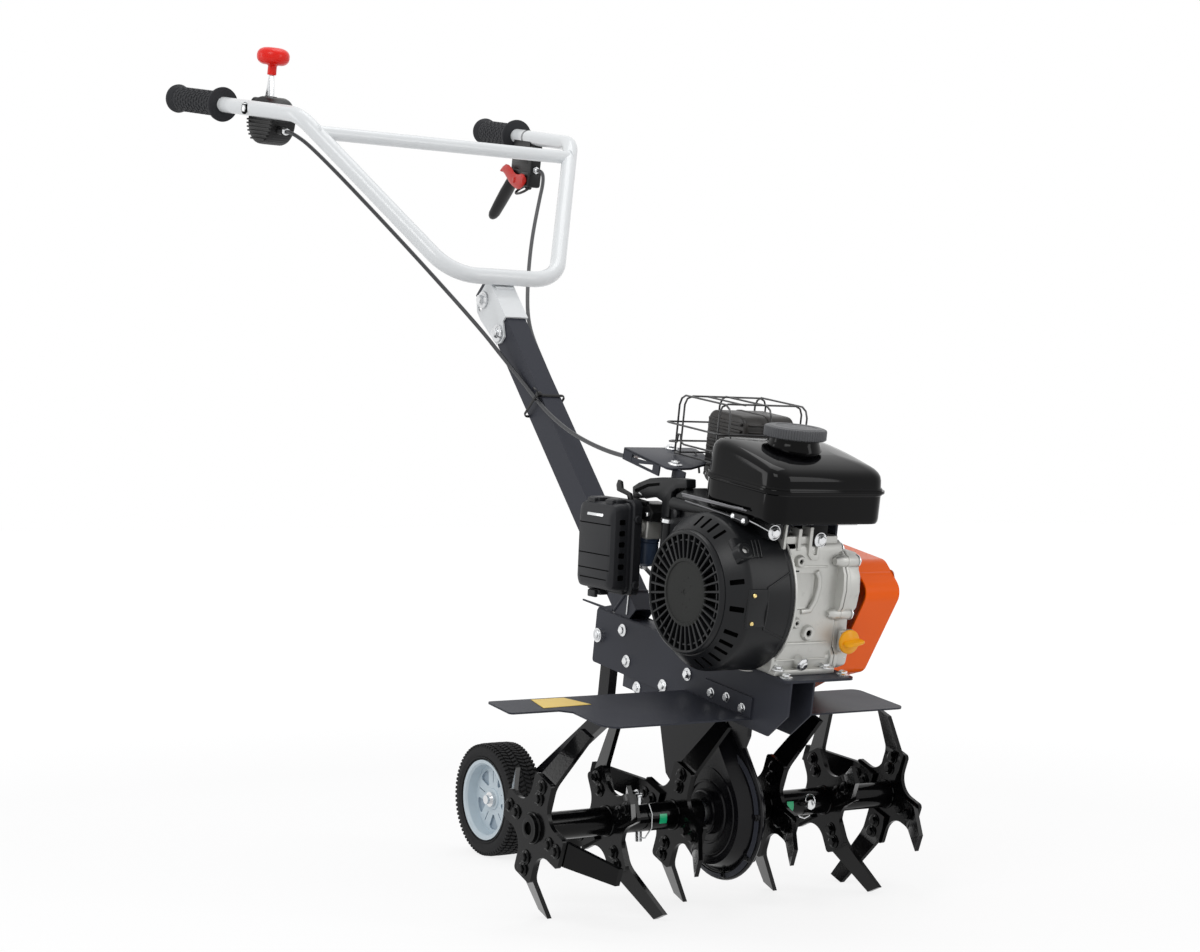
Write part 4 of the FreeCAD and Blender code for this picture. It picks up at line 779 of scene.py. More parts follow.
def governor():
    """The levers, rod and spring over the housing, and the choke's lever and link."""
    form = Form()
    form.block((-36, 80), (-75.6, -74.4), (369, 372), IRON, 0.4,
               at=moved(-36, 0, 369, (0, -2.2, 0)) @ moved(36, 0, -369))
    form.tube([(-36, -76, 372.6), (0, -76.4, 373.6), (40, -76.2, 374.4), (76, -75.4, 374.6), (84, -73, 374)],
              1.1, IRON, 8)
    form.tube([(-30, -75, 365.4), (10, -75.4, 364.6), (50, -75, 363.4), (84, -73.4, 361)], 0.8, IRON, 8)
    form.prism([(56, 360), (84, 357), (90, 362), (86, 368), (58, 368)], -74, -71.5, SHROUD, bevel=0.8)
    for x, z in ((62, 364), (82, 362)):
        form.turned([(AXIS, 0), (3.4, 0), (3.4, 1.6), (2, 2.8), (AXIS, 3)], ZINC,
                    facing((x, -74, z), (0, -1, 0)), 14)
    form.prism([(-168, 353), (-146, 351), (-138, 339), (-133, 341), (-139, 355), (-158, 358), (-161, 366),
                (-168, 367), (-171, 360)], -77, -73, CONTROL_BLACK, bevel=1.2)
    form.tube([(-135, -75, 341), (-130, -70, 332), (-128, -64, 326)], 2.6, CONTROL_BLACK, 8)
    form.tube([(86, -72, 364), (94, -64, 360), (99, -52, 354)], 0.9, STEEL, 6)
    form.make("governor_levers", "chassis")


def crankcase_block():
    """The cast block with a soft recess in its front face."""
    block = Form()
    block.prism(rounded((-36, 98), (188, 342), 12), -25, 60, ALLOY, bevel=3, steps=3)
    hollow = Form()
    hollow.prism(rounded((-18, 25), (263, 305), 6), 94.6, 104, ALLOY, "front", bevel=1.6)
    # The notch's cut faces take painted shade.
    hollow.prism(rounded((-24, -9), (333, 358), 2), 60, 104, PAINTED_SHADE, "front")
    block.make("crankcase_block", "chassis", cut=hollow)


def crankcase():
    """The block's webs, bosses and legs, and the side cover with its rim and bolts."""
    form = Form()
    form.block((-40, 104), (-24, 62), (188, 195), ALLOY, 1.6)
    face = [(-33, 198), (-25, 190), (86, 190), (98, 196), (100, 212), (94, 220), (93, 250), (98, 256),
            (106, 264), (109, 284), (107, 302), (103, 309), (103, 321), (95, 328), (-22, 328), (-33, 318)]
    mid_x, mid_z = 36, 258
    # The thin ring between the cover's two flanges is painted shade in the seam.
    for grow, low, high, finish, bevel in ((0, 60.6, 84, ALLOY, 4), (2.4, 55.6, 60.2, ALLOY, 1),
                                           (1.0, 59.6, 61.6, PAINTED_SHADE, 0.2), (2.2, 61, 66.4, ALLOY, 1)):
        edge = [(x + math.copysign(grow, x - mid_x), z + math.copysign(grow, z - mid_z)) for x, z in face]
        form.prism(edge, low, high, finish, bevel=bevel, steps=3 if bevel > 2 else 2)
    bolted = ((102, 319, 7), (99, 257, 6.6), (92, 206, 7), (70, 327, 7), (20, 328, 7), (-26, 324, 7),
              (-36, 262, 7), (-32, 200, 7))
    for x, z, r in bolted + ((38, 190.5, 5),):
        boss = [(AXIS, -46), (r - 3, -46), (r, -52), (r, -60), (r - 0.6, -60.4), (r - 0.6, -61.4), (r, -61.8),
                (r, -75), (r - 1, -77.6), (AXIS, -77.6)]
        form.turned(boss, ALLOY, moved(x, 0, z, (90, 0, 0)), 20)
    form.tube([(98.2, 24, 307), (98.6, 28.6, 300), (98.8, 29.4, 288), (98.2, 26.4, 273), (97.6, 20, 261.5),
               (97, 8, 260.4)], 3.4, ALLOY, 14)
    form.block((97, 100.6), (-15, 50), (222.6, 225.4), ALLOY, 1.1)
    form.block((97, 99.6), (-22, 50), (204, 206), ALLOY, 0.8)
    form.block((97, 99.4), (-22, 40), (311, 313.4), ALLOY, 1)
    # A slot of painted shade on the front face.
    form.block((97.6, 98.6), (-12, -1), (306.6, 308.2), PAINTED_SHADE, 0.3, steps=1)
    for y, z, r, hole in ((20, 236, 8.2, 3.6), (1.2, 248, 5.8, 2.2), (-10, 236, 5, 2), (-2.2, 319, 6.4, 2.4)):
        ring = [(hole, 0), (r + 1.6, 0), (r, 5), (r - 1, 6), (hole + 1, 6), (hole, 5)]
        form.turned(ring, ALLOY, facing((97, y, z), (1, 0, 0)), 26, closed=True)
        # Painted shade on the floor of each boss's hole.
        form.turned([(AXIS, 2.4), (hole + 0.3, 2.4), (hole + 0.3, 1.4), (AXIS, 1.4)], PAINTED_SHADE,
                    facing((97, y, z), (1, 0, 0)), 12)
    form.turned([(AXIS, -8), (8.6, -8), (7, 3), (6.6, 6), (AXIS, 6)], ALLOY,
                facing((96, 12, 203), (1, 0.25, -0.45)), 24)
    form.prism([(-29, 333), (-25, 333), (-25, 357), (-24, 361), (-28, 361)], 84, 100, ALLOY, "front",
               bevel=0.8)
    form.prism([(-8, 331), (-3, 331), (-3, 356), (-8, 356)], 84, 99.4, ALLOY, "front", bevel=1)
    form.prism([(8, 326), (14, 320), (24, 320), (24, 336), (20, 336), (20, 326), (16, 326), (12, 331),
                (12, 358), (7, 358)], 84, 100.4, ALLOY, "front", bevel=0.9)
    form.block((60, 96), (-22, 52), (338, 347), ALLOY, 1.6)
    form.block((60, 98), (12, 34), (336, 366), TANK_BLACK, 1)
    form.block((60, 98), (-50, -30), (344, 366), SHROUD, 1)
    form.turned([(AXIS, -80), (23, -80), (21, -90), (16, -93), (AXIS, -93)], ALLOY, CRANK_OUT, 30)
    for i in range(6):
        spoke = CRANK_OUT @ moved(turn=(0, 0, 60 * i + 20))
        form.block((16, 44), (-1.6, 1.6), (-88, -82), ALLOY, 1, at=spoke)
    form.turned([(AXIS, -84), (10, -84), (10, -134), (AXIS, -134)], STEEL, CRANK_OUT, 24)
    form.block((99, 106), (64, 84), (214, 239), ALLOY, 2.5)
    form.make("crankcase_cast", "chassis", replaces=("crankcase", "crankcase_cover"), slot="engine_aluminium")
    bolts("crankcase_bolts", "chassis",
          [((x, 77.6, z), (0, 1, 0)) for x, z, _ in bolted]
          + [((x, y, 195), (0, 0, 1)) for x, y in ((101, -18), (101, 50), (-38, 50))], 8.5, 5, ZINC)
    bolts("tank_leg_bolts", "chassis", [((98, -43, 352), (1, 0, 0)), ((98, 24, 343), (1, 0, 0)),
                                       ((102.6, 13.6, 200.6), (1, 0.25, -0.45))], 10, 6, ZINC)


def cylinder():
    """The barrel and head with their cooling fins and rocker cover."""
    form = Form()
    form.prism(rounded((-112, -34), (240, 332), 12), -16, 44, ALLOY, bevel=2)
    for i in range(FIN_COUNT):
        x = -40 - FIN_PITCH * i
        inset = 0 if i < 9 else 2
        form.prism(rounded((-25 + inset, 52 - inset), (229 + inset, 342 - inset), 12), x, x + FIN_THICK,
                   ALLOY, "front", bevel=0.5, steps=1)
    form.prism(rounded((-150, -116), (238, 338), 12), -20, 48, ALLOY, bevel=4, steps=3)
    form.prism(rounded((-120, -113), (232, 344), 12), -24, 51, ALLOY, bevel=1)
    form.tube([(-122, 18, 337), (-132, 18, 345), (-120, 18, 346)], 5, CONTROL_BLACK, 12)
    form.make("cylinder_finned", "chassis", replaces=("cylinder",), slot="engine_aluminium")
    bolts("head_bolts", "chassis", [((-150, y, z), (-1, 0, 0)) for y in (-10, 38) for z in (250, 326)],
          9, 5, ZINC)


def carburettor():
    """The carburettor: a black throttle body over a cast block and its round float bowl."""
    form = Form()
    form.block((-152, -116), (-64, -28), (303, 326), ALLOY, 3, steps=3)
    form.prism([(-152, 326), (-108, 326), (-104, 338), (-116, 346), (-140, 346), (-152, 338)], -66, -34,
               CONTROL_BLACK, bevel=1.6)
    form.turned([(AXIS, 60), (12, 60), (12, 66), (10, 68), (10, 71), (AXIS, 71)], ALLOY,
                moved(-133, 0, 316, (90, 0, 0)), 28)
    bowl_at = moved(-134, -50, 0)
    form.turned([(AXIS, 269), (11, 269), (14, 272), (15, 278), (15, 297), (14, 298), (15.6, 299), (15.6, 304),
                 (AXIS, 304)], BOWL, bowl_at, 36)
    form.turned([(AXIS, 264), (4.6, 264), (4.6, 270), (AXIS, 270)], ZINC, bowl_at, 6)
    for x, z in ((-146, 336), (-130, 340), (-114, 334)):
        form.turned([(AXIS, 0), (3, 0), (3, 2), (1.8, 3), (AXIS, 3)], ZINC, facing((x, -66, z), (0, -1, 0)),
                    14)
    form.block((-150, -118), (-68, -62), (344, 349), CONTROL_BLACK, 1.2)
    form.tube([(-148, -62, 350), (-136, -66, 356), (-124, -64, 352), (-112, -60, 356)], 1.1, STEEL, 6)
    form.block((-114, -100), (-40, -20), (296, 326), CONTROL_BLACK, 2)
    form.turned([(AXIS, 0), (4, 0), (4, 7), (AXIS, 7)], BRASS, facing((-142, -62, 310), (0, -1, 0)), 12)
    form.tube([(-176, -70, 300), (-164, -62, 308), (-150, -54, 314)], 8, CONTROL_BLACK, 18)
    form.make("carburettor_cast", "chassis", replaces=("carburettor",), slot="engine_aluminium")


TANK_BOTTOM, TANK_SEAM, TANK_TOP = 365.0, 402.0, 447.0
FILLER = moved(48, 12, 0)
CAP_RADIUS, CAP_TEETH = 36, 72


def tank():
    """The fuel tank: a tub, a seam flange, a lid that falls to the front, and the filler's neck."""
    form = Form()
    x, y = (-20.0, 128.0), (-70.0, 91.0)

    def ring(inset, rear, front, radius):
        """The tub's outline at an inset: its two rear corners are rounder than the front ones."""
        spots = []
        for cx, cy, r, start in ((x[1], y[1], radius, 0), (x[0], y[1], radius + 14, 90),
                                 (x[0], y[0], radius + 14, 180), (x[1], y[0], radius, 270)):
            inward = (math.copysign(r + inset, 54 - cx), math.copysign(r + inset, 10 - cy))
            for i in range(9):
                a = math.radians(start + 90 * i / 8)
                spots.append((cx + inward[0] + r * math.cos(a), cy + inward[1] + r * math.sin(a)))
            if start in (0, 180):
                here, away = spots[-1], (x[0] + x[1] - cx, cy)
                far = away[0] - math.copysign(r + inset + 14 * (1 if start == 0 else -1), 54 - cx)
                spots += [(here[0] + (far - here[0]) * i / 9, here[1]) for i in range(1, 9)]
        return [(a, b, rear + (front - rear) * ((a - x[0]) / (x[1] - x[0])) ** 1.7 if a > x[0] else rear)
                for a, b in spots]

    def flat(inset, z, radius):
        return ring(inset, z, z, radius)

    form.loft([flat(5, TANK_BOTTOM, 16), flat(1.6, TANK_BOTTOM + 1, 19), flat(0.3, TANK_BOTTOM + 3.6, 20),
               flat(0, TANK_BOTTOM + 7, 20), flat(0, TANK_SEAM, 20)], TANK_BLACK)
    form.loft([flat(0, TANK_SEAM, 20), ring(0.4, 408, 404, 20), ring(1.2, 428, 413.5, 19.4),
               ring(2.4, 436, 417.5, 18.6), ring(4.4, 440, 420, 17.6), ring(7.4, 443, 422, 16.4),
               ring(12, 445, 423.6, 14), ring(22, 446.4, 425.8, 9), ring(44, TANK_TOP, 430, 5)], TANK_BLACK)
    form.loft([flat(-3.4, TANK_SEAM - 1.8, 23), flat(-4, TANK_SEAM - 1.1, 24), flat(-4, TANK_SEAM + 1.1, 24),
               flat(-3.4, TANK_SEAM + 1.8, 23)], TANK_BLACK)
    form.loft([flat(-0.2, 397.4, 20.2), flat(-1.2, 398.6, 21), flat(-1.2, 405.2, 21),
               flat(-0.2, 406.4, 20.2)], TANK_BLACK)
    neck = [(AXIS, 425), (33, 425), (32.2, 440), (30, 446), (29, 448), (29, 451.6), (AXIS, 451.6)]
    form.turned(neck, TANK_BLACK, FILLER, 56)
    form.make("fuel_tank_pressed", "chassis", replaces=("fuel_tank",), slot="tank_black", angle=40)


def fuel_cap():
    """The filler's cap: a knurled skirt under a ringed top."""
    cap = Form(FILLER)
    low, high = 451.4, 464.8
    grip = []
    for inset, z in ((1.6, low), (0, low + 1.2), (0, high - 3), (0.8, high - 1.4), (2.6, high - 0.6)):
        reach = [CAP_RADIUS - inset - (0.7 if i % 3 == 0 and inset < 2 else 0) for i in range(3 * CAP_TEETH)]
        grip.append([(r * math.cos(a), r * math.sin(a), z) for r, a in zip(reach, angles(3 * CAP_TEETH))])
    cap.loft(grip, CAP_GREY)
    cap.turned([(AXIS, high - 2), (32, high - 2), (32, high - 0.6), (31, high), (24, high),
                (23, high - 1), (AXIS, high - 1)], CAP_GREY, None, 72)
    cap.turned([(10, high - 1.4), (12, high - 1.4), (11.6, high - 0.5), (10.4, high - 0.5)], CAP_GREY, None,
               48, closed=True)
    cap.make("fuel_cap_knurled", "chassis", replaces=("fuel_cap",), slot="black_plastic", angle=28)


FILTER_LEAN = moved(-150, 0, 233, (0, -5.5, 0)) @ moved(150, 0, -233)


def air_filter():
    """The air filter's box: a chamfered cover with creases and clips, a ladder of recesses and its base."""
    form = Form(FILTER_LEAN)
    x, z = (-193.0, -105.0), (233.0, 346.2)

    def ring(inset, side, drop=0.0):
        spots = rounded((x[0] + inset, x[1] - inset), (z[0] + inset, z[1] - inset - drop), 8, 4)
        return [(a, side, b) for a, b in spots]

    form.loft([ring(2, -72.4), ring(0, -74), ring(0, -84), ring(1.6, -86)], BOX_BLACK)
    form.loft([ring(4, -85), ring(3.4, -87.4), ring(4.2, -90)], BOX_BLACK)
    cover = Form(FILTER_LEAN)
    # The cut recesses and creases of the cover are lined with painted shade.
    slots = Form(FILTER_LEAN)
    cover.loft([ring(4.5, -88), ring(4.5, -101), ring(6, -107, 1), ring(10, -110.6, 4), ring(14, -111.6, 10)],
               BOX_BLACK)
    for i in range(6):
        high = 254 + 13.2 * i
        slots.block((-114, -100), (-102, -94), (high - 3.2, high + 3.2), PAINTED_SHADE, 1.4)
    for high in (316, 280, 262):
        slots.block((-190, -114), (-113, -110.7), (high - 0.7, high + 0.7), PAINTED_SHADE, 0.3, steps=1)
    slots.prism([(-176, 250), (-120, 250), (-120, 251.4), (-176, 251.4)], -113, -110.9, PAINTED_SHADE)
    cover.make("air_filter_cover", "chassis", slot="black_plastic", cut=slots, replaces=("air_filter",))
    plate = [[(-178, -110, 322), (-122, -110, 322), (-123, -107, 332), (-178, -107, 332)],
             [(-177, -111.7, 322.6), (-123, -111.7, 322.6), (-124, -108.6, 331.4), (-177, -108.6, 331.4)]]
    form.loft(plate, BOX_BLACK, bevel=0.6)
    form.loft([[(-166, -111.6, 325), (-132, -111.6, 325), (-132, -110.4, 329), (-166, -110.4, 329)],
               [(-165.6, -112, 325.4), (-132.4, -112, 325.4), (-132.4, -110.9, 328.6),
                (-165.6, -110.9, 328.6)]],
              ZINC, bevel=0.15, steps=1)
    for cx, low, high in ((-170, 337, 346.4), (-132, 337, 346.4), (-162, 229.4, 236)):
        form.block((cx - 12, cx + 12), (-100, -86), (low, high), BOX_BLACK, 2, steps=2)
        form.block((cx - 8, cx + 8), (-104, -99), (low - 3, high - 1), BOX_BLACK, 1.2)
    form.block((-190, -114), (-92, -86), (233.2, 342), BOX_BLACK, 2.4)
    for high in (246, 324):
        form.turned([(AXIS, 0), (5, 0), (5, 9), (3.6, 10), (AXIS, 10)], BOX_BLACK,
                    facing((-106, -80, high), (1, 0, 0)) @ moved(0, 0, -6), 16)
    form.make("air_filter_base", "chassis")


def exhaust():
    """The muffler: a pressed can with a seam and louvres, and its pipe and flange."""
    form = Form()
    can = rounded((-129, -53), (373, 461), 14)
    form.prism(can, 18, 93, EXHAUST, bevel=4, steps=3)
    form.prism(rounded((-130, -52), (372, 462), 15), 53, 58, EXHAUST, bevel=0.8)
    for i in range(9):
        low = 382 + 8.4 * i
        form.block((-54, -52), (23, 50), (low, low + 2.6), EXHAUST, 0.5)
        form.block((-123, -59), (14.8, 19), (low - 0.6, low + 3.2), EXHAUST, 0.9)
    for i in range(6):
        form.block((-54, -51.8), (61 + 5 * i, 63.4 + 5 * i), (384, 450), EXHAUST, 0.6)
    form.turned([(AXIS, 343), (14, 343), (14, 374), (AXIS, 374)], EXHAUST, moved(-92, 38, 0), 24)
    form.block((-116, -68), (22, 54), (345, 350), EXHAUST, 1.2)
    form.tube([(-121, 80, 440), (-134, 84, 440), (-142, 86, 438)], 6, EXHAUST, 14)
    form.make("muffler_pressed", "chassis", replaces=("muffler",), slot="exhaust_steel")
    bolts("muffler_bolts", "chassis", [((-111, 38, 350), (0, 0, 1)), ((-73, 38, 350), (0, 0, 1))], 9, 5, ZINC)


def muffler_cage():
    """The wire cage over the muffler: hoops, rails, rings and its legs."""
    cage = Form()
    back, front, top = -150.0, -47.0, 474.2
    for y in (-10, 50, 104):
        hoop = [(back, y, 402), (back, y, 462), (back + 3.5, y, 470), (back + 11, y, top),
                (front - 11, y, top), (front - 3.5, y, 470), (front, y, 462), (front, y, 402)]
        cage.tube(hoop, 1.25, WIRE_BLACK, 8)
    for x in (back + 16, front - 16):
        cage.tube([(x, -14, 404), (x, -14, 464), (x, -11, 471), (x, -3, top), (x, 98, top), (x, 105, 471),
                   (x, 108, 464), (x, 108, 404)], 1.2, WIRE_BLACK, 8)
    cage.tube([(back + 12, 20, top - 0.4), (front - 12, 20, top - 0.4)], 1.1, WIRE_BLACK, 8)
    for z, wider in ((404, 0), (440, 9)):
        ring = rounded((back - wider, front), (-14 - wider, 108), 9, 3)
        cage.tube([(a, b, z) for a, b in ring], 1.2, WIRE_BLACK, 8, closed=True)
    cage.tube([(front - 20, -16, 417), (-124, -17, 417), (-129, -18, 420), (-131, -18, 428), (-135, -18, 428),
               (-137, -18, 418), (-152, -18, 417), (back - 6, -12, 417), (back - 6, 100, 417)], 1.2,
               WIRE_BLACK, 8)
    for x, y, out in ((front, 20, 1), (front, 84, 1), (back, 84, -1), (back, 20, -1)):
        cage.tube([(x, y, 404), (x - 8 * out, y, 396), (x - 12 * out, y * 0.94 + 2, 380)], 1.4, WIRE_BLACK, 8)
    cage.make("cage_wires", "chassis", replaces=("muffler_cage",), slot="exhaust_steel")


LEVEL_PLATE = moved(-140, 0, 399, (0, 6, 0)) @ moved(140, 0, -398)


def control_plate():
    """The plate that the throttle cable runs to, with its turned-down edge and window."""
    form = Form(LEVEL_PLATE)
    form.prism([(-182, -63), (-184, 38), (-178, 42), (-145, 35), (-107, 6), (-88, -28), (-84, -58),
                (-90, -63)], 396, 399, ANTHRACITE, "top", bevel=0.8)
    for x, z in (((-182, -163), (384, 398)), ((-118, -104), (384, 398)), ((-163, -118), (395, 398)),
                 ((-163, -118), (384, 387))):
        form.block(x, (-63, -60.6), z, ANTHRACITE, 0.5, steps=1)
    form.prism([(-163, 387), (-150, 387), (-118, 394), (-118, 395.4), (-126, 395.4), (-163, 391)], -62.6, -61,
               ANTHRACITE)
    form.block((-182, -179.6), (-63, -34), (386, 398), ANTHRACITE, 0.8)
    form.block((-96, -70), (-50, -47.6), (372, 398), ANTHRACITE, 0.8)
    form.turned([(AXIS, 0), (4.6, 0), (4.6, 12), (3.4, 13), (3.2, 17), (AXIS, 17)], ZINC,
                facing((-186, -45.6, 390), (-1, -0.1, 0)) @ moved(0, 0, -8), 12)
    form.make("control_plate", "chassis", replaces=("throttle_bracket",), slot="frame_anthracite")
    heads = [(LEVEL_PLATE @ Vector(spot), (0.1, 0, 1)) for spot in ((-176, 2, 399), (-100, -44, 399))]
    bolts("control_plate_bolts", "chassis", heads, 10, 5, ZINC)


INPUT = (-70.0, 149.0)
PULLEYS = (("engine_pulley", CRANK, 28, 10.1), ("input_pulley", INPUT, 31, 8))
BELT_LEFT, BELT_RISE = 109, 0.6


def guard_inside():
    """The belt round its pulleys, the guard's bolts and its plain panel."""
    form = Form()
    tilt = math.atan2(INPUT[1] - CRANK[1], INPUT[0] - CRANK[0])
    loop = []
    for (_, (x, z), radius, _), half in zip(PULLEYS, (math.pi / 2, -math.pi / 2)):
        r = radius + BELT_RISE
        for i in range(17):
            a = tilt + half + math.pi * i / 16
            loop.append((x + r * math.cos(a), BELT_LEFT, z + r * math.sin(a)))
    form.tube(loop, 3.4, BELT, 8, closed=True, wide=(5.5, (0, 1, 0)))
    form.make("drive_belt", "chassis")
    for node, (x, z), r, hub in PULLEYS:
        pulley = Form()
        rim = [(hub, 101), (hub + 6, 101), (hub + 7, 104), (r - 5, 104), (r - 4, 101), (r, 101), (r, 102.4),
               (r - 7, 108), (r - 7, 110), (r, 115.6), (r, 117), (r - 4, 117), (r - 5, 113), (hub + 7, 113),
               (hub + 6, 117), (hub, 117)]
        pulley.turned([(a, -b) for a, b in rim], IRON, moved(x, 0, z, (90, 0, 0)), 48, closed=True)
        if node == "input_pulley":
            pulley.turned([(AXIS, -3), (8, -3), (8, -121), (AXIS, -121)], STEEL,
                          moved(x, 0, z, (90, 0, 0)), 24)
        pulley.make(node + "_turned", "chassis", replaces=(node,), slot="pulley_iron")
    bolts("guard_bolts", "chassis", [((84, 147, 296), (0, 1, 0)), ((60, 147, 212), (0, 1, 0)),
                                    ((-80, 147, 306), (0, 1, 0)), ((-84, 147, 128), (0, 1, 0))], 9, 4.5, ZINC)
    panel = Form()
    panel.prism(rounded((-50, 40), (226, 300), 6), 146.8, 147.5, GUARD_ORANGE, bevel=0.3, steps=1)
    panel.make("guard_plain_panel", "chassis")


def dipstick():
    """The oil dipstick's round collar and its flat wing."""
    form = Form(moved(104, 74, 226, (0, 90, 0)))
    form.turned([(AXIS, 0), (8.6, 0), (8.6, 2.6), (13.4, 3.4), (14, 4.2), (14, 7), (13, 8), (9, 8.4),
                 (7, 10), (AXIS, 10)], AMBER, None, 36)
    wings = []
    for h, w, thick in ((7.6, 10, 4.6), (10, 11.6, 3.6), (14, 13.2, 2.9), (18, 13, 2.4), (20, 11.4, 2.1),
                        (21, 8.6, 1.5)):
        wings.append([(math.copysign(abs(math.sin(a)) ** 0.75, math.sin(a)) * thick,
                       math.copysign(abs(math.cos(a)) ** 0.55, math.cos(a)) * w, h)
                      for a in angles(24)])
    form.loft(wings, AMBER, at=moved(turn=(0, 0, 12)))
    form.make("dipstick_winged", "chassis", replaces=("dipstick",), slot="dipstick_amber", angle=50)


# ------------------------------------------------------------------ transport wheel

TYRE_RADIUS, TYRE_SIDE, RIM_RADIUS = 76.0, 24.0, 53.5
TREAD_COUNT, POCKETS = 76, 5
WHEEL_TURN = moved(turn=(90, 0, 0))


def tyre():
    """The tyre's carcass with the lines on its sides, and its tread."""
    form = Form(WHEEL_TURN)
    carcass = [(RIM_RADIUS, -20), (RIM_RADIUS + 2, -22.4), (RIM_RADIUS + 6, -24), (RIM_RADIUS + 12, -24.6),
               (TYRE_RADIUS - 5, -23.6), (TYRE_RADIUS - 3.4, -20.4), (TYRE_RADIUS - 3.2, 0),
               (TYRE_RADIUS - 3.4, 20.4), (TYRE_RADIUS - 5, 23.6), (RIM_RADIUS + 12, 24.6),
               (RIM_RADIUS + 6, 24), (RIM_RADIUS + 2, 22.4), (RIM_RADIUS, 20)]
    form.turned(carcass, TYRE, None, 96, closed=True)
    for h in (-TYRE_SIDE, TYRE_SIDE):
        for r in (RIM_RADIUS + 3.5, RIM_RADIUS + 10):
            form.turned([(r - 0.8, h - 0.5), (r + 0.8, h - 0.5), (r + 0.8, h + 0.5), (r - 0.8, h + 0.5)],
                        TYRE, None, 72, closed=True)
    form.make("tyre_carcass", "wheel", WHEEL, replaces=("tyre",), slot="tyre_rubber")
    tread("tyre_tread")


def wheel():
    """The moulded wheel: its rim and hub, its disc with pockets and slits, and the axle's bolt."""
    rim = Form(WHEEL_TURN)
    rim.turned([(46.8, -20), (49, -22.8), (53.4, -23.4), (53.4, -20), (51.4, -15), (51.4, 15), (53.4, 20),
                (53.4, 23.4), (49, 22.8), (46.8, 20), (46, 6), (46, -6)], RIM, None, 80, closed=True)
    rim.turned([(6.4, -9.8), (12.4, -9.8), (14, -8.6), (14.4, -2), (14.4, 8), (13.6, 9.4), (12.4, 9.8),
                (6.4, 9.8)], RIM, None, 40, closed=True)
    rim.make("wheel_moulded", "wheel", WHEEL, replaces=("rim",), slot="rim_plastic")
    disc = Form(WHEEL_TURN)
    disc.turned([(13.4, 8.0), (20, 7.9), (34, 7.7), (44, 7.2), (47, 6.4), (47, 0.4), (13.4, 0.4)],
                RIM, None, 80, closed=True)
    # The pockets' and slits' cut faces take RIM_SHADE, painted shade in a darker copy of the rim's colour.
    pockets = Form(WHEEL_TURN)
    hollow = ((21, -1.6), (21, 1.6), (36, 10.5), (39.5, 8.5), (41, 4), (41, -4), (39.5, -8.5), (36, -10.5))
    slit = ((22, -0.7), (22, 0.7), (38, 0.7), (38, -0.7))
    for i in range(POCKETS):
        for outline, floor, start in ((hollow, 4.6, 54), (slit, 6, 18)):
            pockets.prism(outline, floor, 20, RIM_SHADE, "top",
                          at=moved(turn=(0, 0, 360 / POCKETS * i + start)))
    disc.make("wheel_disc", "wheel", WHEEL, cut=pockets)
    axle = Form(WHEEL_TURN)
    for hand in (1, -1):
        washer = [(AXIS, 9.9 * hand), (9.2, 9.9 * hand), (9.2, 11.2 * hand), (AXIS, 11.2 * hand)]
        axle.turned(washer, ZINC, None, 28)
    axle.turned([(AXIS, 11), (6.6, 11), (6.6, 13.2), (5.8, 13.9), (AXIS, 13.9)], ZINC, None, 6, bevel=0.4)
    axle.make("axle_bolt_head", "strut", WHEEL)


def tread(name):
    """Staggered rows of slanted ribs round the tyre, with small lugs on its shoulders."""
    spots = []
    for i in range(TREAD_COUNT):
        for row in (-1, 1):
            a = math.tau * (i + 0.5 * (row > 0)) / TREAD_COUNT
            for h, r, skew, grow in ((row * 5.0, TYRE_RADIUS - 1.9, 24 * row, (0.55, 1.0, 0.8)),
                                     (row * 14.2, TYRE_RADIUS - 2.2, -20 * row, (0.55, 0.9, 0.9)),
                                     (row * 21.4, TYRE_RADIUS - 4.0, 4 * row, (0.6, 0.6, 1.5))):
                turn = (Euler((0, 0, a)).to_matrix() @ Euler((0, math.radians(90), 0)).to_matrix()
                        @ Euler((0, 0, math.radians(90 + skew))).to_matrix())
                spots.append((WHEEL_TURN @ Vector((r * math.cos(a), r * math.sin(a), h)),
                              WHEEL_TURN.to_3x3() @ turn, grow))
    return blocks(name, "wheel", WHEEL, spots, (0.0062, 0.0088, 0.0032), TYRE, 0.0005)


# ------------------------------------------------------------------ rotor

# each ring of tines: its side, how far out it sits, its first tine's angle, the way each tine bends
RINGS = ((1, 67.7, 67.5, (1, -1, 1, -1)), (1, 159.0, 22.5, (-1, 1, -1, 1)),
         (1, 258.0, 67.5, (-1, -1, -1, -1)), (-1, 67.7, 67.5, (1, -1, 1, -1)),
         (-1, 159.0, 22.5, (-1, 1, -1, 1)), (-1, 258.0, 67.5, (1, 1, 1, 1)))
HUB_THICK, TINE_THICK, TUBE_RADIUS, HITCH = 5.0, 5.0, 16.0, 117.0
TINE_BOLTS = (37, 52)
PATCH_SPAN = (88, 98)


def rotor():
    """Bolts through each tine and weld beads at the hubs."""
    places = []
    welds = Form()
    for side, place, phase, bends in RINGS:
        for quarter, bend in enumerate(bends):
            a = math.radians(phase + 90 * quarter)
            for along in TINE_BOLTS:
                spot = (along * math.cos(a), side * place + bend * (HUB_THICK / 2 + TINE_THICK),
                        along * math.sin(a))
                back = (spot[0], side * place - bend * HUB_THICK / 2, spot[2])
                places += [(spot, (0, bend, 0)), (back, (0, -bend, 0))]
        for hand in (-1, 1):
            y = side * place + hand * (HUB_THICK / 2)
            bead = [((TUBE_RADIUS + 0.5) * math.cos(b), y + hand * 0.6, (TUBE_RADIUS + 0.5) * math.sin(b))
                    for b in angles(40)]
            welds.tube(bead, 1.7, TINE_BLACK, 8, closed=True)
    welds.make("hub_welds", "rotor", ROTOR)
    bolts("tine_bolts", "rotor", places, 10, 5, TINE_BLACK, ROTOR)


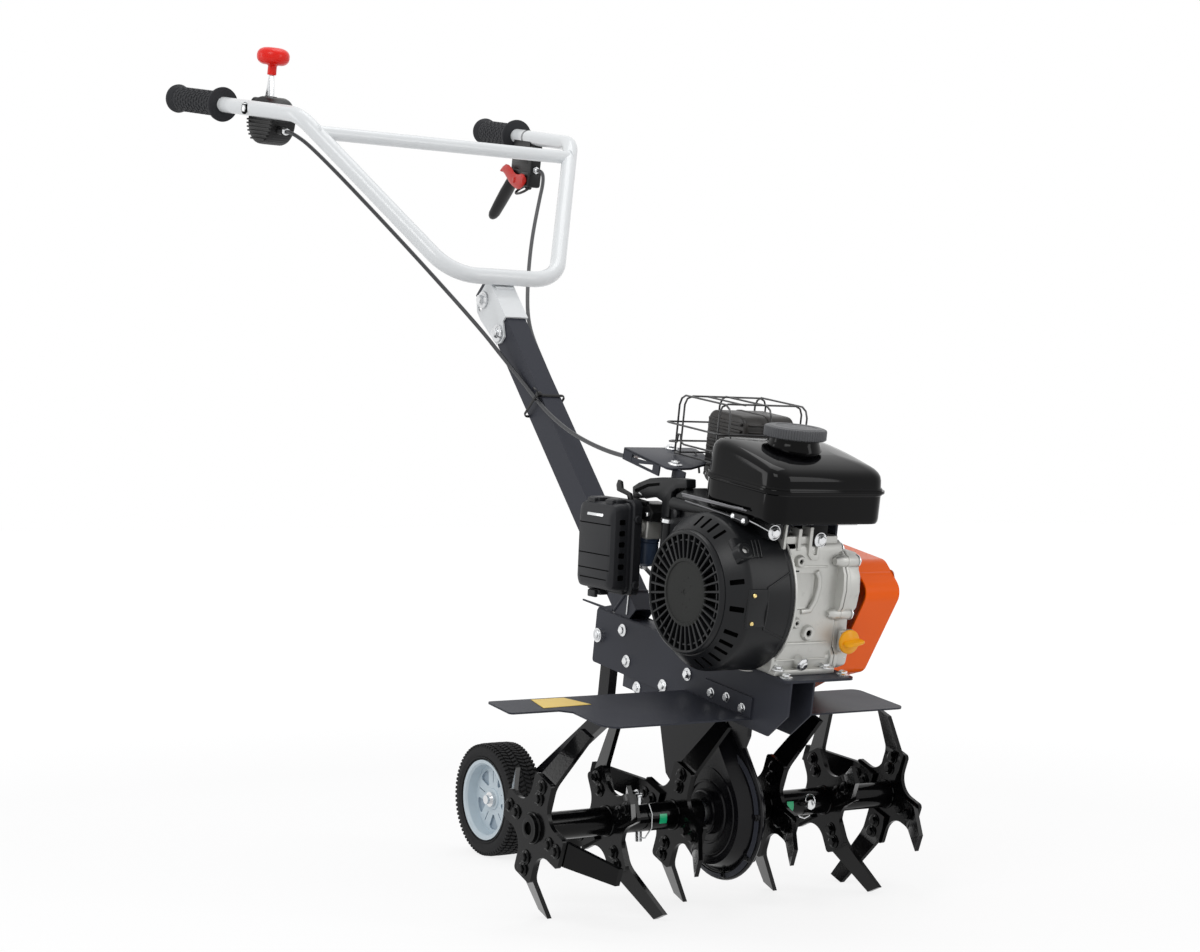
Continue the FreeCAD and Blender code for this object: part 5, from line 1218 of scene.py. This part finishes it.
def hitch_pins():
    """The hitch pins' rings, clips and heads."""
    pins = Form()
    for y, turn in ((-HITCH, (0, 0, 0)), (HITCH, (0, 90, 0))):
        pin = moved(0, y, 0, turn)
        pins.tube([(7 * math.cos(a) - 5, 1.5 * math.sin(a), 24 + 7 * math.sin(a))
                   for a in angles(20)], 1.0, ZINC, 8, closed=True, at=pin)
        pins.tube([(-4, 0, -23), (7, 4, -23), (18, 6, -10), (19, 6, 6), (14, 5, 17)], 0.9, ZINC, 8, at=pin)
        pins.turned([(AXIS, 24), (5.4, 24), (6, 25), (6, 27), (4.6, 28), (AXIS, 28)], ZINC, pin, 20)
    pins.make("hitch_pin_rings", "rotor", ROTOR)


def tube_patches():
    """A green patch on each tine tube."""
    patches = Form()
    for side in (-1, 1):
        rows = [[((TUBE_RADIUS + 0.35) * math.cos(a), side * y, (TUBE_RADIUS + 0.35) * math.sin(a))
                 for a in (math.radians(-24 + 8 * i) for i in range(6))] for y in PATCH_SPAN]
        inside = [[(p[0] * 0.985, p[1], p[2] * 0.985) for p in row] for row in rows]
        patches.loft([rows[0] + inside[0][::-1], rows[1] + inside[1][::-1]], GREEN)
    patches.make("tube_patches", "rotor", ROTOR)


def shaft_ends():
    """The rolled ends of the tine tubes round a bore painted with shade."""
    ends = Form()
    for side in (-1, 1):
        out = moved(turn=(-90 * side, 0, 0))
        ends.turned([(8.2, 262), (8.2, 265), (12.2, 265.2), (13.2, 266), (13.2, 266.8), (12, 267), (7.8, 267),
                     (7, 266.2), (7, 262)], TINE_BLACK, out, 36, closed=True)
        # A disc of painted shade in the bore.
        ends.turned([(AXIS, 262.2), (8.4, 262.2), (8.4, 262.8), (AXIS, 262.8)], PAINTED_SHADE, out, 20)
    ends.make("shaft_ends", "rotor", ROTOR)


def chain_case():
    """The chain case's rolled rim, its stepped rings and bolts, and a paler ring painted as the highlight on
    the flange's edge.
    """
    form = Form()
    for hand in (-1, 1):
        out = moved(turn=(-90 * hand, 0, 0))
        for r, low, high, fine in ((52, 19.6, 21.2, 2.2), (36, 19.6, 22.0, 2.2)):
            form.turned([(r - fine, low), (r + fine, low), (r + fine - 1, high), (r - fine + 1, high)],
                        CASE_BLACK, out, 64, closed=True)
        form.turned([(12.9, 25.6), (25.4, 25.6), (25.4, 26.8), (24, 28), (14, 28), (12.9, 27)], CASE_BLACK,
                    out, 40, closed=True)
        # Painted highlight: a paler anthracite ring on the flange's face, standing for the light along its
        # edge.
        form.turned([(74, 3.2), (79, 3.2), (79.6, 4), (74, 6)], ANTHRACITE, out, 72, closed=True)
    rim = case_outline(80, 119, 0.6)
    form.tube([(x, 0, z) for x, z in rim], 3.0, CASE_BLACK, 8, closed=True, wide=(3.0, (0, 1, 0)))
    for hand in (-1, 1):
        seam = [(x, hand * 3.4, z) for x, z in case_outline(73, 109, 0)]
        form.tube(seam, 1.1, CASE_BLACK, 6, closed=True)
    form.make("case_rims", "chassis")
    spots = []
    for angle in (-150, -110, -70, -30, 10, 170):
        a = math.radians(angle)
        spots += [((75.4 * math.cos(a), hand * 3, 75.4 * math.sin(a)), (0, hand, 0)) for hand in (-1, 1)]
    bolts("case_bolts", "chassis", spots, 7, 4, CASE_BLACK)


def case_outline(radius, apex, inset):
    """The teardrop of the chain case: a circle and its two tangents to a rounded tip."""
    radius, apex = radius - inset, apex - inset
    half = math.acos(radius / apex)
    turns = [math.pi / 2 - half - (math.tau - 2 * half) * i / 40 for i in range(41)]
    spots = [(radius * math.cos(a), radius * math.sin(a)) for a in turns]
    return spots + [(-3, apex - 5), (0, apex - 2.4), (3, apex - 5)]


# ------------------------------------------------------------------ handlebar and its controls

SHOULDER, BAR_END, BAR = (-816.0, 223.0, 767.0), (-1146.0, 265.0, 777.0), 11.0
DRUM_BEFORE, DRUM_HIGH, DRUM_RADIUS = 214.75, 756, 33.6
CLUTCH_BEFORE, CLUTCH_DROP = 162.28, 62
GRIP_LENGTH, GRIP_ROWS, GRIP_PADS = 134, 13, 14
ARM_LINES_AFTER = 158


def arm_place(side, after):
    """A frame on the upper arm: X forward along it, Y to the left, Z up."""
    shoulder = Vector((SHOULDER[0], side * SHOULDER[1], SHOULDER[2]))
    run = (Vector((BAR_END[0], side * BAR_END[1], BAR_END[2])) - shoulder).normalized()
    forward = -run
    left = Vector((0, 0, 1)).cross(forward).normalized()
    turn = Matrix((forward, left, forward.cross(left))).transposed().to_4x4()
    return Matrix.Translation(shoulder + run * after) @ turn


ARM = (Vector(SHOULDER) - Vector(BAR_END)).length
DRUM = arm_place(-1, ARM - DRUM_BEFORE)
DRUM_UP = DRUM_HIGH - DRUM.translation.z
DRUM_NEAR = BAR + 0.4
BLADE_TOP, BLADE_MID = DRUM_UP + 34, DRUM_NEAR + 19.6
CLUTCH = arm_place(1, ARM - CLUTCH_BEFORE)
CLUTCH_LOW = -BAR - CLUTCH_DROP


def grips():
    """Two rubber grips with flanges, rows of small pads and a ribbed band."""
    for hand, side in (("right", -1), ("left", 1)):
        place = arm_place(side, ARM - GRIP_LENGTH + 2.2) @ moved(turn=(0, -90, 0))
        form = Form(place)
        body = [(11.3, 0.2), (22.5, 0.2), (24.4, 1), (25, 2.6), (24.6, 5), (22.6, 6.4), (19.4, 7.4),
                (18.2, 9.6), (17.4, 12), (17, 20), (16.8, 66), (17, 112), (17.6, 123), (19, 125.6),
                (20.4, 127.4), (21, 129.6), (20.6, 132.4), (19, 134.4), (15, 135), (AXIS, 135)]
        form.turned(body, GRIP, None, 64)
        for h in (13.5, 16.5, 119.5, 122):
            form.turned([(17, h - 0.7), (17.9, h - 0.4), (17.9, h + 0.4), (17, h + 0.7)], GRIP, None, 56,
                        closed=True)
        form.make("grip_%s_moulded" % hand, "handlebar", replaces=("grip_" + hand,), slot="grip_rubber")
        spots = []
        flat = Euler((0, math.radians(90), 0)).to_matrix()
        for row in range(GRIP_ROWS):
            for i in range(GRIP_PADS):
                a = math.tau * (i + 0.5 * (row % 2)) / GRIP_PADS
                spots.append((place @ Vector((17.1 * math.cos(a), 17.1 * math.sin(a), 22 + 7.6 * row)),
                              place.to_3x3() @ Euler((0, 0, a)).to_matrix() @ flat,
                              (1.0, 1.0 if i % 2 else 0.8, 1.0)))
        blocks("grip_%s_pads" % hand, "handlebar", LEVEL, spots, (0.0055, 0.0062, 0.0016), GRIP, 0.0005)


def throttle():
    """The throttle's ribbed drum, with the cable's ferrule."""
    form = Form(DRUM)
    low, r = DRUM_NEAR, DRUM_RADIUS
    wall = [(AXIS, low), (r - 3, low), (r - 0.8, low + 1), (r, low + 3), (r, low + 36), (r - 1, low + 38.6),
            (r - 4, low + 39.6), (AXIS, low + 39.6)]
    out = moved(0, 0, DRUM_UP, (-90, 0, 0))
    form.turned(wall, CONTROL_BLACK, out, 64)
    for i in range(6):
        h = DRUM_UP - 1 - 5.2 * i
        reach = math.sqrt(max(DRUM_RADIUS ** 2 - (h - DRUM_UP) ** 2, 16)) - 1.5
        form.block((-reach, reach), (low - 2.6, low + 3), (h - 1.3, h + 1.3), CONTROL_BLACK, 0.5)
    for i in range(22):
        form.block((32.2, 33.9), (-0.9, 0.9), (low + 6, low + 36), CONTROL_BLACK, 0.3, steps=1,
                   at=out @ moved(turn=(0, 0, -180 - 180 * i / 21)))
    form.turned([(24, low + 39), (27, low + 39), (26.4, low + 39.9), (24.6, low + 39.9)], CONTROL_BLACK, out,
                48, closed=True)
    form.prism(rounded((-33, 4), (DRUM_UP - 6, DRUM_UP + 31), 9), low + 1.5, low + 36, CONTROL_BLACK,
               bevel=2.4, steps=3)
    form.block((-13, 13), (6, 16), (-9, 9), CONTROL_BLACK, 2)
    form.turned([(AXIS, 0), (4.4, 0), (4.4, 14), (5.4, 15), (5.4, 24), (3.6, 26), (3.6, 33.6), (AXIS, 33.6)],
                CONTROL_BLACK, moved(20, 24, DRUM_UP - 12, (0, 90, 0)), 20)
    form.turned([(3.2, 30), (5, 30), (5, 36), (3.2, 36)], ZINC, moved(18, 24, DRUM_UP - 12, (0, 90, 0)), 6,
                closed=True)
    # A slot of painted shade in the housing's top.
    form.block((-20, 2), (low + 16, low + 24), (DRUM_UP + 30, DRUM_UP + 34.2), PAINTED_SHADE, 0.6)
    form.make("throttle_housing", "handlebar", replaces=("throttle_drum",), slot="black_plastic")


def throttle_blade():
    """The throttle's flat blade with its rib."""
    lever = Form(DRUM)
    top, mid = BLADE_TOP, BLADE_MID
    for thick, foot, tip, low_z, high_z, finish, bevel in ((2.4, 9, 3.8, top - 2, top + 31, ZINC, 0.5),
                                                           (3.2, 1.6, 0.8, top, top + 26, STEEL, 0.4)):
        blade = ((-foot, low_z), (foot, low_z), (tip, high_z), (-tip, high_z))
        lever.loft([[(x - 11, mid + t, z) for x, z in blade] for t in (-thick, thick)], finish, bevel=bevel)
    lever.make("throttle_blade", "handlebar", replaces=("throttle_lever",), slot="steel_zinc")


def throttle_knob():
    """The red knob: a neck, a round head and rays under it."""
    knob = Form(DRUM @ moved(-11, BLADE_MID, BLADE_TOP + 30.1))
    head = [(AXIS, 0.1), (6, 0.1), (6.5, 1), (6.3, 12.5), (8, 14)]
    head += [(23.3 * math.cos(a) ** 0.62, 26 + 12.9 * math.copysign(abs(math.sin(a)) ** 0.85, a))
             for a in map(math.radians, range(-66, 90, 8))]
    knob.turned(head + [(AXIS, 38.9)], RED, None, 56)
    for i in range(20):
        ray = moved(turn=(0, 0, 18 * i))
        knob.tube([(8.6, 0, 14.6), (13, 0, 16.2), (17, 0, 18.4), (20, 0, 21)], 0.8, RED, 6, at=ray)
    knob.make("throttle_knob_round", "handlebar", replaces=("throttle_knob",), slot="red_plastic")


def throttle_screw():
    """The screw through the drum, under the arm."""
    screw = Form(DRUM)
    screw_at = moved(-8, -10, -1, (90, 0, 0))
    # A ring of painted shade round the screw's head.
    screw.turned([(AXIS, 0), (8.4, 0), (8.4, 0.9), (7.4, 1.6), (6.4, 1.8), (6.2, 1.2), (AXIS, 1.2)],
                 PAINTED_SHADE, screw_at, 28)
    screw.turned([(AXIS, 1), (5.8, 1), (5.4, 3), (3.6, 4), (AXIS, 4.2)], ZINC, screw_at, 6)
    screw.block((-14, -2), (-13.4, -11), (5, 6.4), ZINC, 0.4)
    screw.make("throttle_screw", "handlebar")


def clutch():
    """The clutch's mount, with its saddle on the arm, its spring ring and the cable's ferrule."""
    mount = Form(CLUTCH)
    mount.block((-34, 30), (-10, 11), (CLUTCH_LOW + 8, CLUTCH_LOW + 24), CONTROL_BLACK, 4, steps=3)
    mount.block((20, 54), (-11, 11), (CLUTCH_LOW - 2, CLUTCH_LOW + 22), CONTROL_BLACK, 4, steps=3)
    mount.block((-22, 54), (-9, 8), (CLUTCH_LOW + 18, -10.5), CONTROL_BLACK, 2.5, steps=3)
    saddle = [(11.2 * math.sin(math.radians(a)), -11.2 * math.cos(math.radians(a)))
              for a in range(-60, 61, 10)]
    mount.prism(saddle + [(9.8, -12), (8, -17), (-8, -17), (-9.8, -12)], -18, 44, CONTROL_BLACK, "front")
    mount.block((-16, 42), (-9.4, -8), (-40, -20), CONTROL_BLACK, 0.8)
    for x in (-6, 30):
        mount.turned([(AXIS, 0), (3.4, 0), (3.4, 1.6), (2.4, 2.6), (AXIS, 2.6)], ZINC,
                     moved(x, -8.6, -30, (90, 0, 0)), 16)
    ferrule = moved(48, 0, CLUTCH_LOW + 25, (0, 90, 0))
    mount.turned([(AXIS, 0), (4, 0), (4, 12), (3, 13), (3, 17.8), (AXIS, 17.8)], ZINC, ferrule, 16)
    mount.turned([(2.8, 4), (5.6, 4), (5.6, 8), (2.8, 8)], ZINC, ferrule, 6, closed=True)
    ring = [(26 + 23 * math.cos(a), -6 + 5 * math.sin(a),
             CLUTCH_LOW - 7 + 6 * math.sin(a) + 4.5 * math.cos(a))
            for a in angles(28)]
    mount.tube(ring, 2.0, CONTROL_BLACK, 8, closed=True)
    mount.tube([(34, -6, CLUTCH_LOW + 2), (36, -3, CLUTCH_LOW - 3), (42, -2, CLUTCH_LOW - 2)], 4,
               CONTROL_BLACK, 8)
    mount.make("clutch_mount_moulded", "handlebar", replaces=("clutch_mount",), slot="black_plastic")


def clutch_lever():
    """The clutch's long lever, thickest near its pivot."""
    lever = Form(CLUTCH)
    start, tip = Vector((-28, 0, CLUTCH_LOW + 6)), Vector((-97, 0, CLUTCH_LOW - 61))
    along = (tip - start).normalized()
    across = Vector((along.z, 0, -along.x))
    rings = []
    for t, w, deep in ((-0.06, 7.6, 7), (0.05, 8.2, 10), (0.3, 7.4, 11), (0.6, 7, 10.6), (0.88, 6.8, 9.6),
                       (0.96, 5.6, 7.6), (1.0, 3.8, 5), (1.01, 1.8, 2.4)):
        centre = start.lerp(tip, t)
        rings.append([centre + across * w * math.cos(a) + Vector((0, deep * math.sin(a), 0))
                      for a in angles(20)])
    lever.loft(rings, CONTROL_BLACK)
    lever.make("clutch_lever_moulded", "handlebar", replaces=("clutch_lever",), slot="black_plastic",
               angle=50)


def clutch_claw():
    """The red claw that locks the lever."""
    claw = Form(CLUTCH)
    line = [(-42, 17, 2), (-36, 20, 4.8), (-28, 20, 8), (-18, 17, 10.6), (-8, 12.6, 12), (2, 8, 11),
            (12, 5, 10.6), (23, 4, 11.4), (34, 5.6, 12), (43, 7.6, 9.6), (47, 8, 5.4)]
    rings = []
    for x, z, tall in line:
        rings.append([(x, -14.6 + 3.4 * math.cos(a), CLUTCH_LOW + z + tall * math.sin(a))
                      for a in angles(16)])
    claw.loft(rings, LOCK_RED)
    claw.turned([(AXIS, 0), (5, 0), (5, 1), (4, 1.6), (AXIS, 1.6)], LOCK_RED,
                moved(14, -17.6, CLUTCH_LOW + 6, (90, 0, 0)), 20)
    claw.make("clutch_claw", "handlebar", replaces=("clutch_lock",), slot="red_plastic", angle=50)


def arm_lines():
    """Two scribed lines round the left arm."""
    lines = Form(arm_place(1, ARM_LINES_AFTER))
    for x in (-1.7, 1.7):
        lines.turned([(BAR, x - 0.6), (BAR + 0.5, x), (BAR, x + 0.6)], CONTROL_BLACK, moved(turn=(0, 90, 0)),
                     48, closed=True)
    lines.make("arm_ring_lines", "handlebar")


# ------------------------------------------------------------------ column, plates and their fasteners

COLUMN_LEAN = math.radians(41)
COLUMN_FOOT = (-227, 0, 205)
PIVOT_ALONG, SLOT_ALONG, PIVOT_OFF = 455.4, 517.4, -5.0
PLATE_OUT, STRAP_OUT = 17.6, 18.5
COLUMN = Matrix.Translation(COLUMN_FOOT) @ Matrix((
    (-math.cos(COLUMN_LEAN), 0, math.sin(COLUMN_LEAN), 0), (0, -1, 0, 0),
    (math.sin(COLUMN_LEAN), 0, math.cos(COLUMN_LEAN), 0), (0, 0, 0, 1)))
TIE_ALONG = (469 + COLUMN_FOOT[0]) / math.cos(COLUMN_LEAN)


def cable_tie():
    """The tie that holds both cables to the column, with its head and tail."""
    form = Form(COLUMN)
    loop = rounded((-22.6, 22.6), (-21.4, 21.4), 6, 4)
    form.tube([(TIE_ALONG, a, b) for a, b in loop], 0.9, CONTROL_BLACK, 8, closed=True, wide=(2.3, (1, 0, 0)))
    form.block((TIE_ALONG - 3.4, TIE_ALONG + 3.4), (16, 23), (20, 25.6), CONTROL_BLACK, 1)
    form.tube([(TIE_ALONG, 20, 22), (TIE_ALONG - 1, 26, 30), (TIE_ALONG - 4, 34, 38),
               (TIE_ALONG - 9, 42, 44)], 0.8, CONTROL_BLACK, 6, wide=(1.8, (1, 0, 0)))
    form.make("cable_tie_strap", "chassis", replaces=("cable_tie",), slot="black_plastic")


def plate_fasteners():
    """The side plates' flanged bolts, brackets and welds."""
    both = [(-210.5, 170), (-195.5, 134), (-114.6, 123), (14.3, 141.2), (45, 136.3)]
    plates = [((x, -PLATE_OUT, z), (0, -1, 0)) for x, z in both + [(-67.5, 148.7), (-15.8, 139)]]
    plates += [((x, PLATE_OUT, z), (0, 1, 0)) for x, z in both]
    plates += [((x, y, 188), (0, 0, 1)) for x, y in ((-96, -14), (-96, 60), (112, 68), (112, -14))]
    bolts("plate_bolts", "chassis", plates, 9, 5.4, ZINC)
    bolts("strut_pin_bolt", "chassis", [((-258, -23.6, 153), (0, -1, 0))], 8, 3, STEEL)
    form = Form()
    form.block((-204, -104), (-15, -12.4), (100, 119), ANTHRACITE, 1)
    form.prism([(-312, 186), (-244, 186), (-240, 196), (-262, 189), (-312, 188)], -14.4, -12.4, ANTHRACITE)
    form.block((-209.4, -207.6), (-17, -12), (190, 236), STEEL, 0.5, steps=1)
    form.block((-268, -130), (-15, 15), (183.4, 185), ANTHRACITE, 0.4)
    form.make("plate_brackets", "chassis")
    bolts("lower_bracket_bolts", "chassis",
          [((-171.5, -15, 106), (0, -1, 0)), ((-120, -15, 107), (0, -1, 0))], 9, 5, ZINC)
    seams = Form()
    for hand in (-1, 1):
        seams.tube([(-272 + 8 * i, hand * 14.6, 184.2 + 0.5 * math.sin(i * 2.4)) for i in range(18)], 1.8,
                   ANTHRACITE, 8)
    seams.tube([COLUMN @ Vector((-2, b, a)) for a, b in rounded((-20, 20), (-15, 15), 2, 2)], 2, ANTHRACITE,
               8, closed=True)
    seams.make("plate_welds", "chassis")


def handlebar_joint():
    """The handlebar's welds, the bracket's bolts and the mark of its slot."""
    welds = Form()
    for side in (-1, 1):
        bead = [(-790 + 10.4 * math.cos(a), side * (205.4 + 1.2 * math.sin(2 * a)),
                 745.5 + 10.4 * math.sin(a))
                for a in angles(32)]
        welds.tube(bead, 1.7, WHITE_BAR, 8, closed=True)
    top = PIVOT_ALONG + 68.7
    for side in (-1, 1):
        welds.tube([COLUMN @ Vector((top + side * 10.4 + 0.4 * math.sin(i * 1.9), -14 + 28 * i / 14, 23.6))
                    for i in range(15)], 2.2, WHITE_BAR, 8)
    welds.make("handlebar_welds", "handlebar")
    marks = Form(COLUMN)
    sweep = SLOT_ALONG - PIVOT_ALONG
    arc = [(PIVOT_ALONG + sweep * math.cos(math.radians(a)), 18.4,
            PIVOT_OFF - sweep * math.sin(math.radians(a)))
           for a in range(-3, 17, 2)]
    marks.tube(arc, 0.7, STEEL, 6, wide=(0.5, (0, 1, 0)))
    marks.make("bracket_mark", "handlebar")
    heads = []
    turn = COLUMN.to_3x3()
    for along in (PIVOT_ALONG, SLOT_ALONG):
        for hand in (1, -1):
            heads.append((COLUMN @ Vector((along, STRAP_OUT * hand, PIVOT_OFF)), turn @ Vector((0, hand, 0))))
    bolts("bracket_bolt_heads", "chassis", heads, 13.5, 8.6, ZINC)


def fender_patch():
    """The plain yellow patch on the right fender."""
    patch = Form()
    patch.prism([(-66, -236), (-66, -192), (-32, -176), (-29, -242)], 129.05, 129.4, YELLOW, "top")
    patch.make("fender_patch", "chassis")


def soften():
    """Worn, slightly rounded edges on the CAD nodes that keep their own shape."""
    for width, names in ((0.0004, ("side_plate_right", "side_plate_left", "fender_right", "fender_left",
                                   "engine_deck", "case_carrier", "tank_rack")),
                         (0.0008, ("wheel_strut", "tines_inner_left", "tines_middle_left", "tines_outer_left",
                                   "tines_inner_right", "tines_middle_right", "tines_outer_right",
                                   "belt_guard", "strut_pin", "wheel_axle", "hitch_pins")),
                         (0.0016, ("column", "handlebar_bracket"))):
        for name in names:
            edge = NODES[name].modifiers.new("worn_edge", "BEVEL")
            edge.width, edge.segments, edge.limit_method = width, 2, "ANGLE"
            edge.angle_limit = math.radians(38)


for make in (ribbed_cover, shroud, shroud_details, governor, crankcase_block, crankcase, cylinder,
             carburettor, tank, fuel_cap, air_filter, exhaust, muffler_cage, control_plate, guard_inside,
             dipstick, tyre, wheel, rotor, hitch_pins, tube_patches, shaft_ends, chain_case, grips,
             throttle, throttle_blade, throttle_knob, throttle_screw, clutch, clutch_lever, clutch_claw,
             arm_lines, cable_tie, plate_fasteners, handlebar_joint, fender_patch, soften):
    make()


# ------------------------------------------------------------------ cords

def level(x, y, z):
    """A point of the level machine in the frame."""
    return LEVEL @ Vector((x, y, z))


def cord_curve(name, points):
    """A NURBS route through the cable's own bends."""
    data = bpy.data.curves.new(name, "CURVE")
    data.dimensions = "3D"
    spline = data.splines.new("NURBS")
    spline.points.add(len(points) - 1)
    for slot, point in zip(spline.points, points):
        slot.co = (*point, 1)
    spline.order_u = 3
    spline.use_endpoint_u = True
    data.bevel_resolution = 4
    data.resolution_u = 10
    data.use_fill_caps = True
    return placed(name, data)


def cable_piece(name, points):
    """A control cable: a tube on its route's own spline."""
    route = cord_curve(name + "_route", points)
    bare = bpy.data.meshes.new_from_object(route)
    route.data.bevel_depth = CABLE / 2
    tube = bpy.data.meshes.new_from_object(route)
    tube.name = name
    tube.materials.clear()
    tube.materials.append(SHEATH)
    tube.shade_smooth()
    made = placed(name, tube)
    bpy.data.objects.remove(route)
    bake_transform(made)
    return made


CABLE, THROTTLE_LENGTH, CLUTCH_LENGTH = 0.0055, 0.851, 1.060
THROTTLE_ROUTE = [level(*p) for p in (
    (-882.9, -207.3, 742.6), (-869.4, -205.6, 742.1), (-840, -184, 722), (-715, -112, 617), (-590, -42, 508),
    (-540, -24, 467), (-505, -18.2, 446), (-469, -18.1, 428), (-425, -20, 411), (-372, -26, 399),
    (-315, -33, 392), (-260, -39, 389), (-218, -43, 389), (-185.4, -46, 390))]
CLUTCH_ROUTE = [level(*p) for p in (
    (-920.7, 236.3, 722.2), (-907.2, 234.6, 721.7), (-882, 222, 706), (-850, 198, 680), (-775, 145, 626),
    (-700, 98, 578), (-630, 58, 537), (-585, 36, 514), (-548, 23, 495), (-515, 18.4, 472),
    (-460, 18.2, 422), (-395, 18.3, 365), (-340, 18.8, 317), (-298, 24, 276), (-262, 38, 240),
    (-225, 60, 212), (-185, 88, 194), (-145, 110, 184), (-111, 118, 180))]

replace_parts(cable_piece("throttle_cable_run", THROTTLE_ROUTE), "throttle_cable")
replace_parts(cable_piece("clutch_cable_run", CLUTCH_ROUTE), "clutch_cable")


# ------------------------------------------------------------------ floor, light and camera

SKY = 0.5
FLOOR_REACH, FLOOR_GLOW, FLOOR_RISE = 30, 0.82, 0.12
CAMERA_AT, CAMERA_AIM = (2.4846, -1.5516, 0.477), (-0.833, 0.553, 0)


def looked_at(tree):
    """1 where the surface is looked at, straight or by way of a gloss or a glass, and 0 where it lights."""
    rays = tree.add("ShaderNodeLightPath")
    return rays["Is Camera Ray"].most(rays["Is Glossy Ray"]).most(rays["Is Transmission Ray"])


def studio():
    """A pale floor that keeps the shadow, soft lights and the camera."""
    floor_mesh = bpy.data.meshes.new("floor")
    corners = [(x * FLOOR_REACH, y * FLOOR_REACH, 0) for x, y in ((-1, -1), (1, -1), (1, 1), (-1, 1))]
    floor_mesh.from_pydata(corners, [], [(0, 1, 2, 3)])
    floor = placed("floor", floor_mesh)
    paper = Finish("floor_paper")
    seen = looked_at(paper)
    grain = paper.noise(3, 2)
    paper.set(Base_Color=paper.mix(grain, (0.83, 0.83, 0.835, 1), (0.86, 0.86, 0.86, 1)),
              Roughness=0.9, Specular_IOR_Level=0.0)
    dim = paper.add("ShaderNodeBsdfDiffuse", None, (0.2, 0.2, 0.202, 1))
    away = paper.add("ShaderNodeVectorMath", {"operation": "LENGTH"}, paper.place)["Value"]
    bright = paper.add("ShaderNodeEmission", None, (1, 1, 1, 1),
                       ((away - 1) * 0.06).most(0).least(FLOOR_RISE) + FLOOR_GLOW)
    both = paper.add("ShaderNodeAddShader", None, dim[0], bright[0])
    shown = paper.add("ShaderNodeMixShader", None, seen,
                      Wire(paper, paper.shader.outputs[0]), both[0])
    out = paper.nodes.nodes["Material Output"]
    paper.nodes.links.new(shown[0].socket, out.inputs["Surface"])
    floor_mesh.materials.append(paper.material)

    world = bpy.data.worlds.new("studio")
    world.use_nodes = True
    bpy.context.scene.world = world
    sky = Tree(world.node_tree)
    lit = sky.add("ShaderNodeBackground", None, (1, 1, 1, 1), looked_at(sky) * (1 - SKY) + SKY)
    world.node_tree.links.new(lit[0].socket, world.node_tree.nodes["World Output"].inputs["Surface"])

    for name, place, aim, wide, high, power in (
            ("key_softbox", (1.6, -2.2, 2.6), (0.1, 0, 0.35), 1.3, 1.3, 27),
            ("side_softbox", (2.9, 1.6, 1.5), (0.2, 0, 0.4), 0.7, 1.8, 13),
            ("left_softbox", (-1.6, -2.4, 1.2), (-0.1, 0, 0.5), 0.5, 1.8, 9),
            ("top_softbox", (-0.2, 0.4, 3.0), (0, 0, 0.3), 1.4, 1.4, 14)):
        data = bpy.data.lights.new(name, "AREA")
        data.shape, data.size, data.size_y, data.energy = "RECTANGLE", wide, high, power
        lamp = placed(name, data)
        lamp.location = place
        lamp.rotation_euler = (Vector(aim) - Vector(place)).to_track_quat("-Z", "Y").to_euler()

    camera_data = bpy.data.cameras.new("camera")
    camera_data.lens, camera_data.sensor_width = 66, 36
    camera_data.shift_y = 0.02
    camera_data.clip_start, camera_data.clip_end = 0.1, 100
    camera = placed("camera", camera_data)
    camera.location = CAMERA_AT
    camera.rotation_euler = Vector(CAMERA_AIM).to_track_quat("-Z", "Y").to_euler()
    scene = bpy.context.scene
    scene.camera = camera
    scene.view_settings.view_transform = "Standard"


studio()
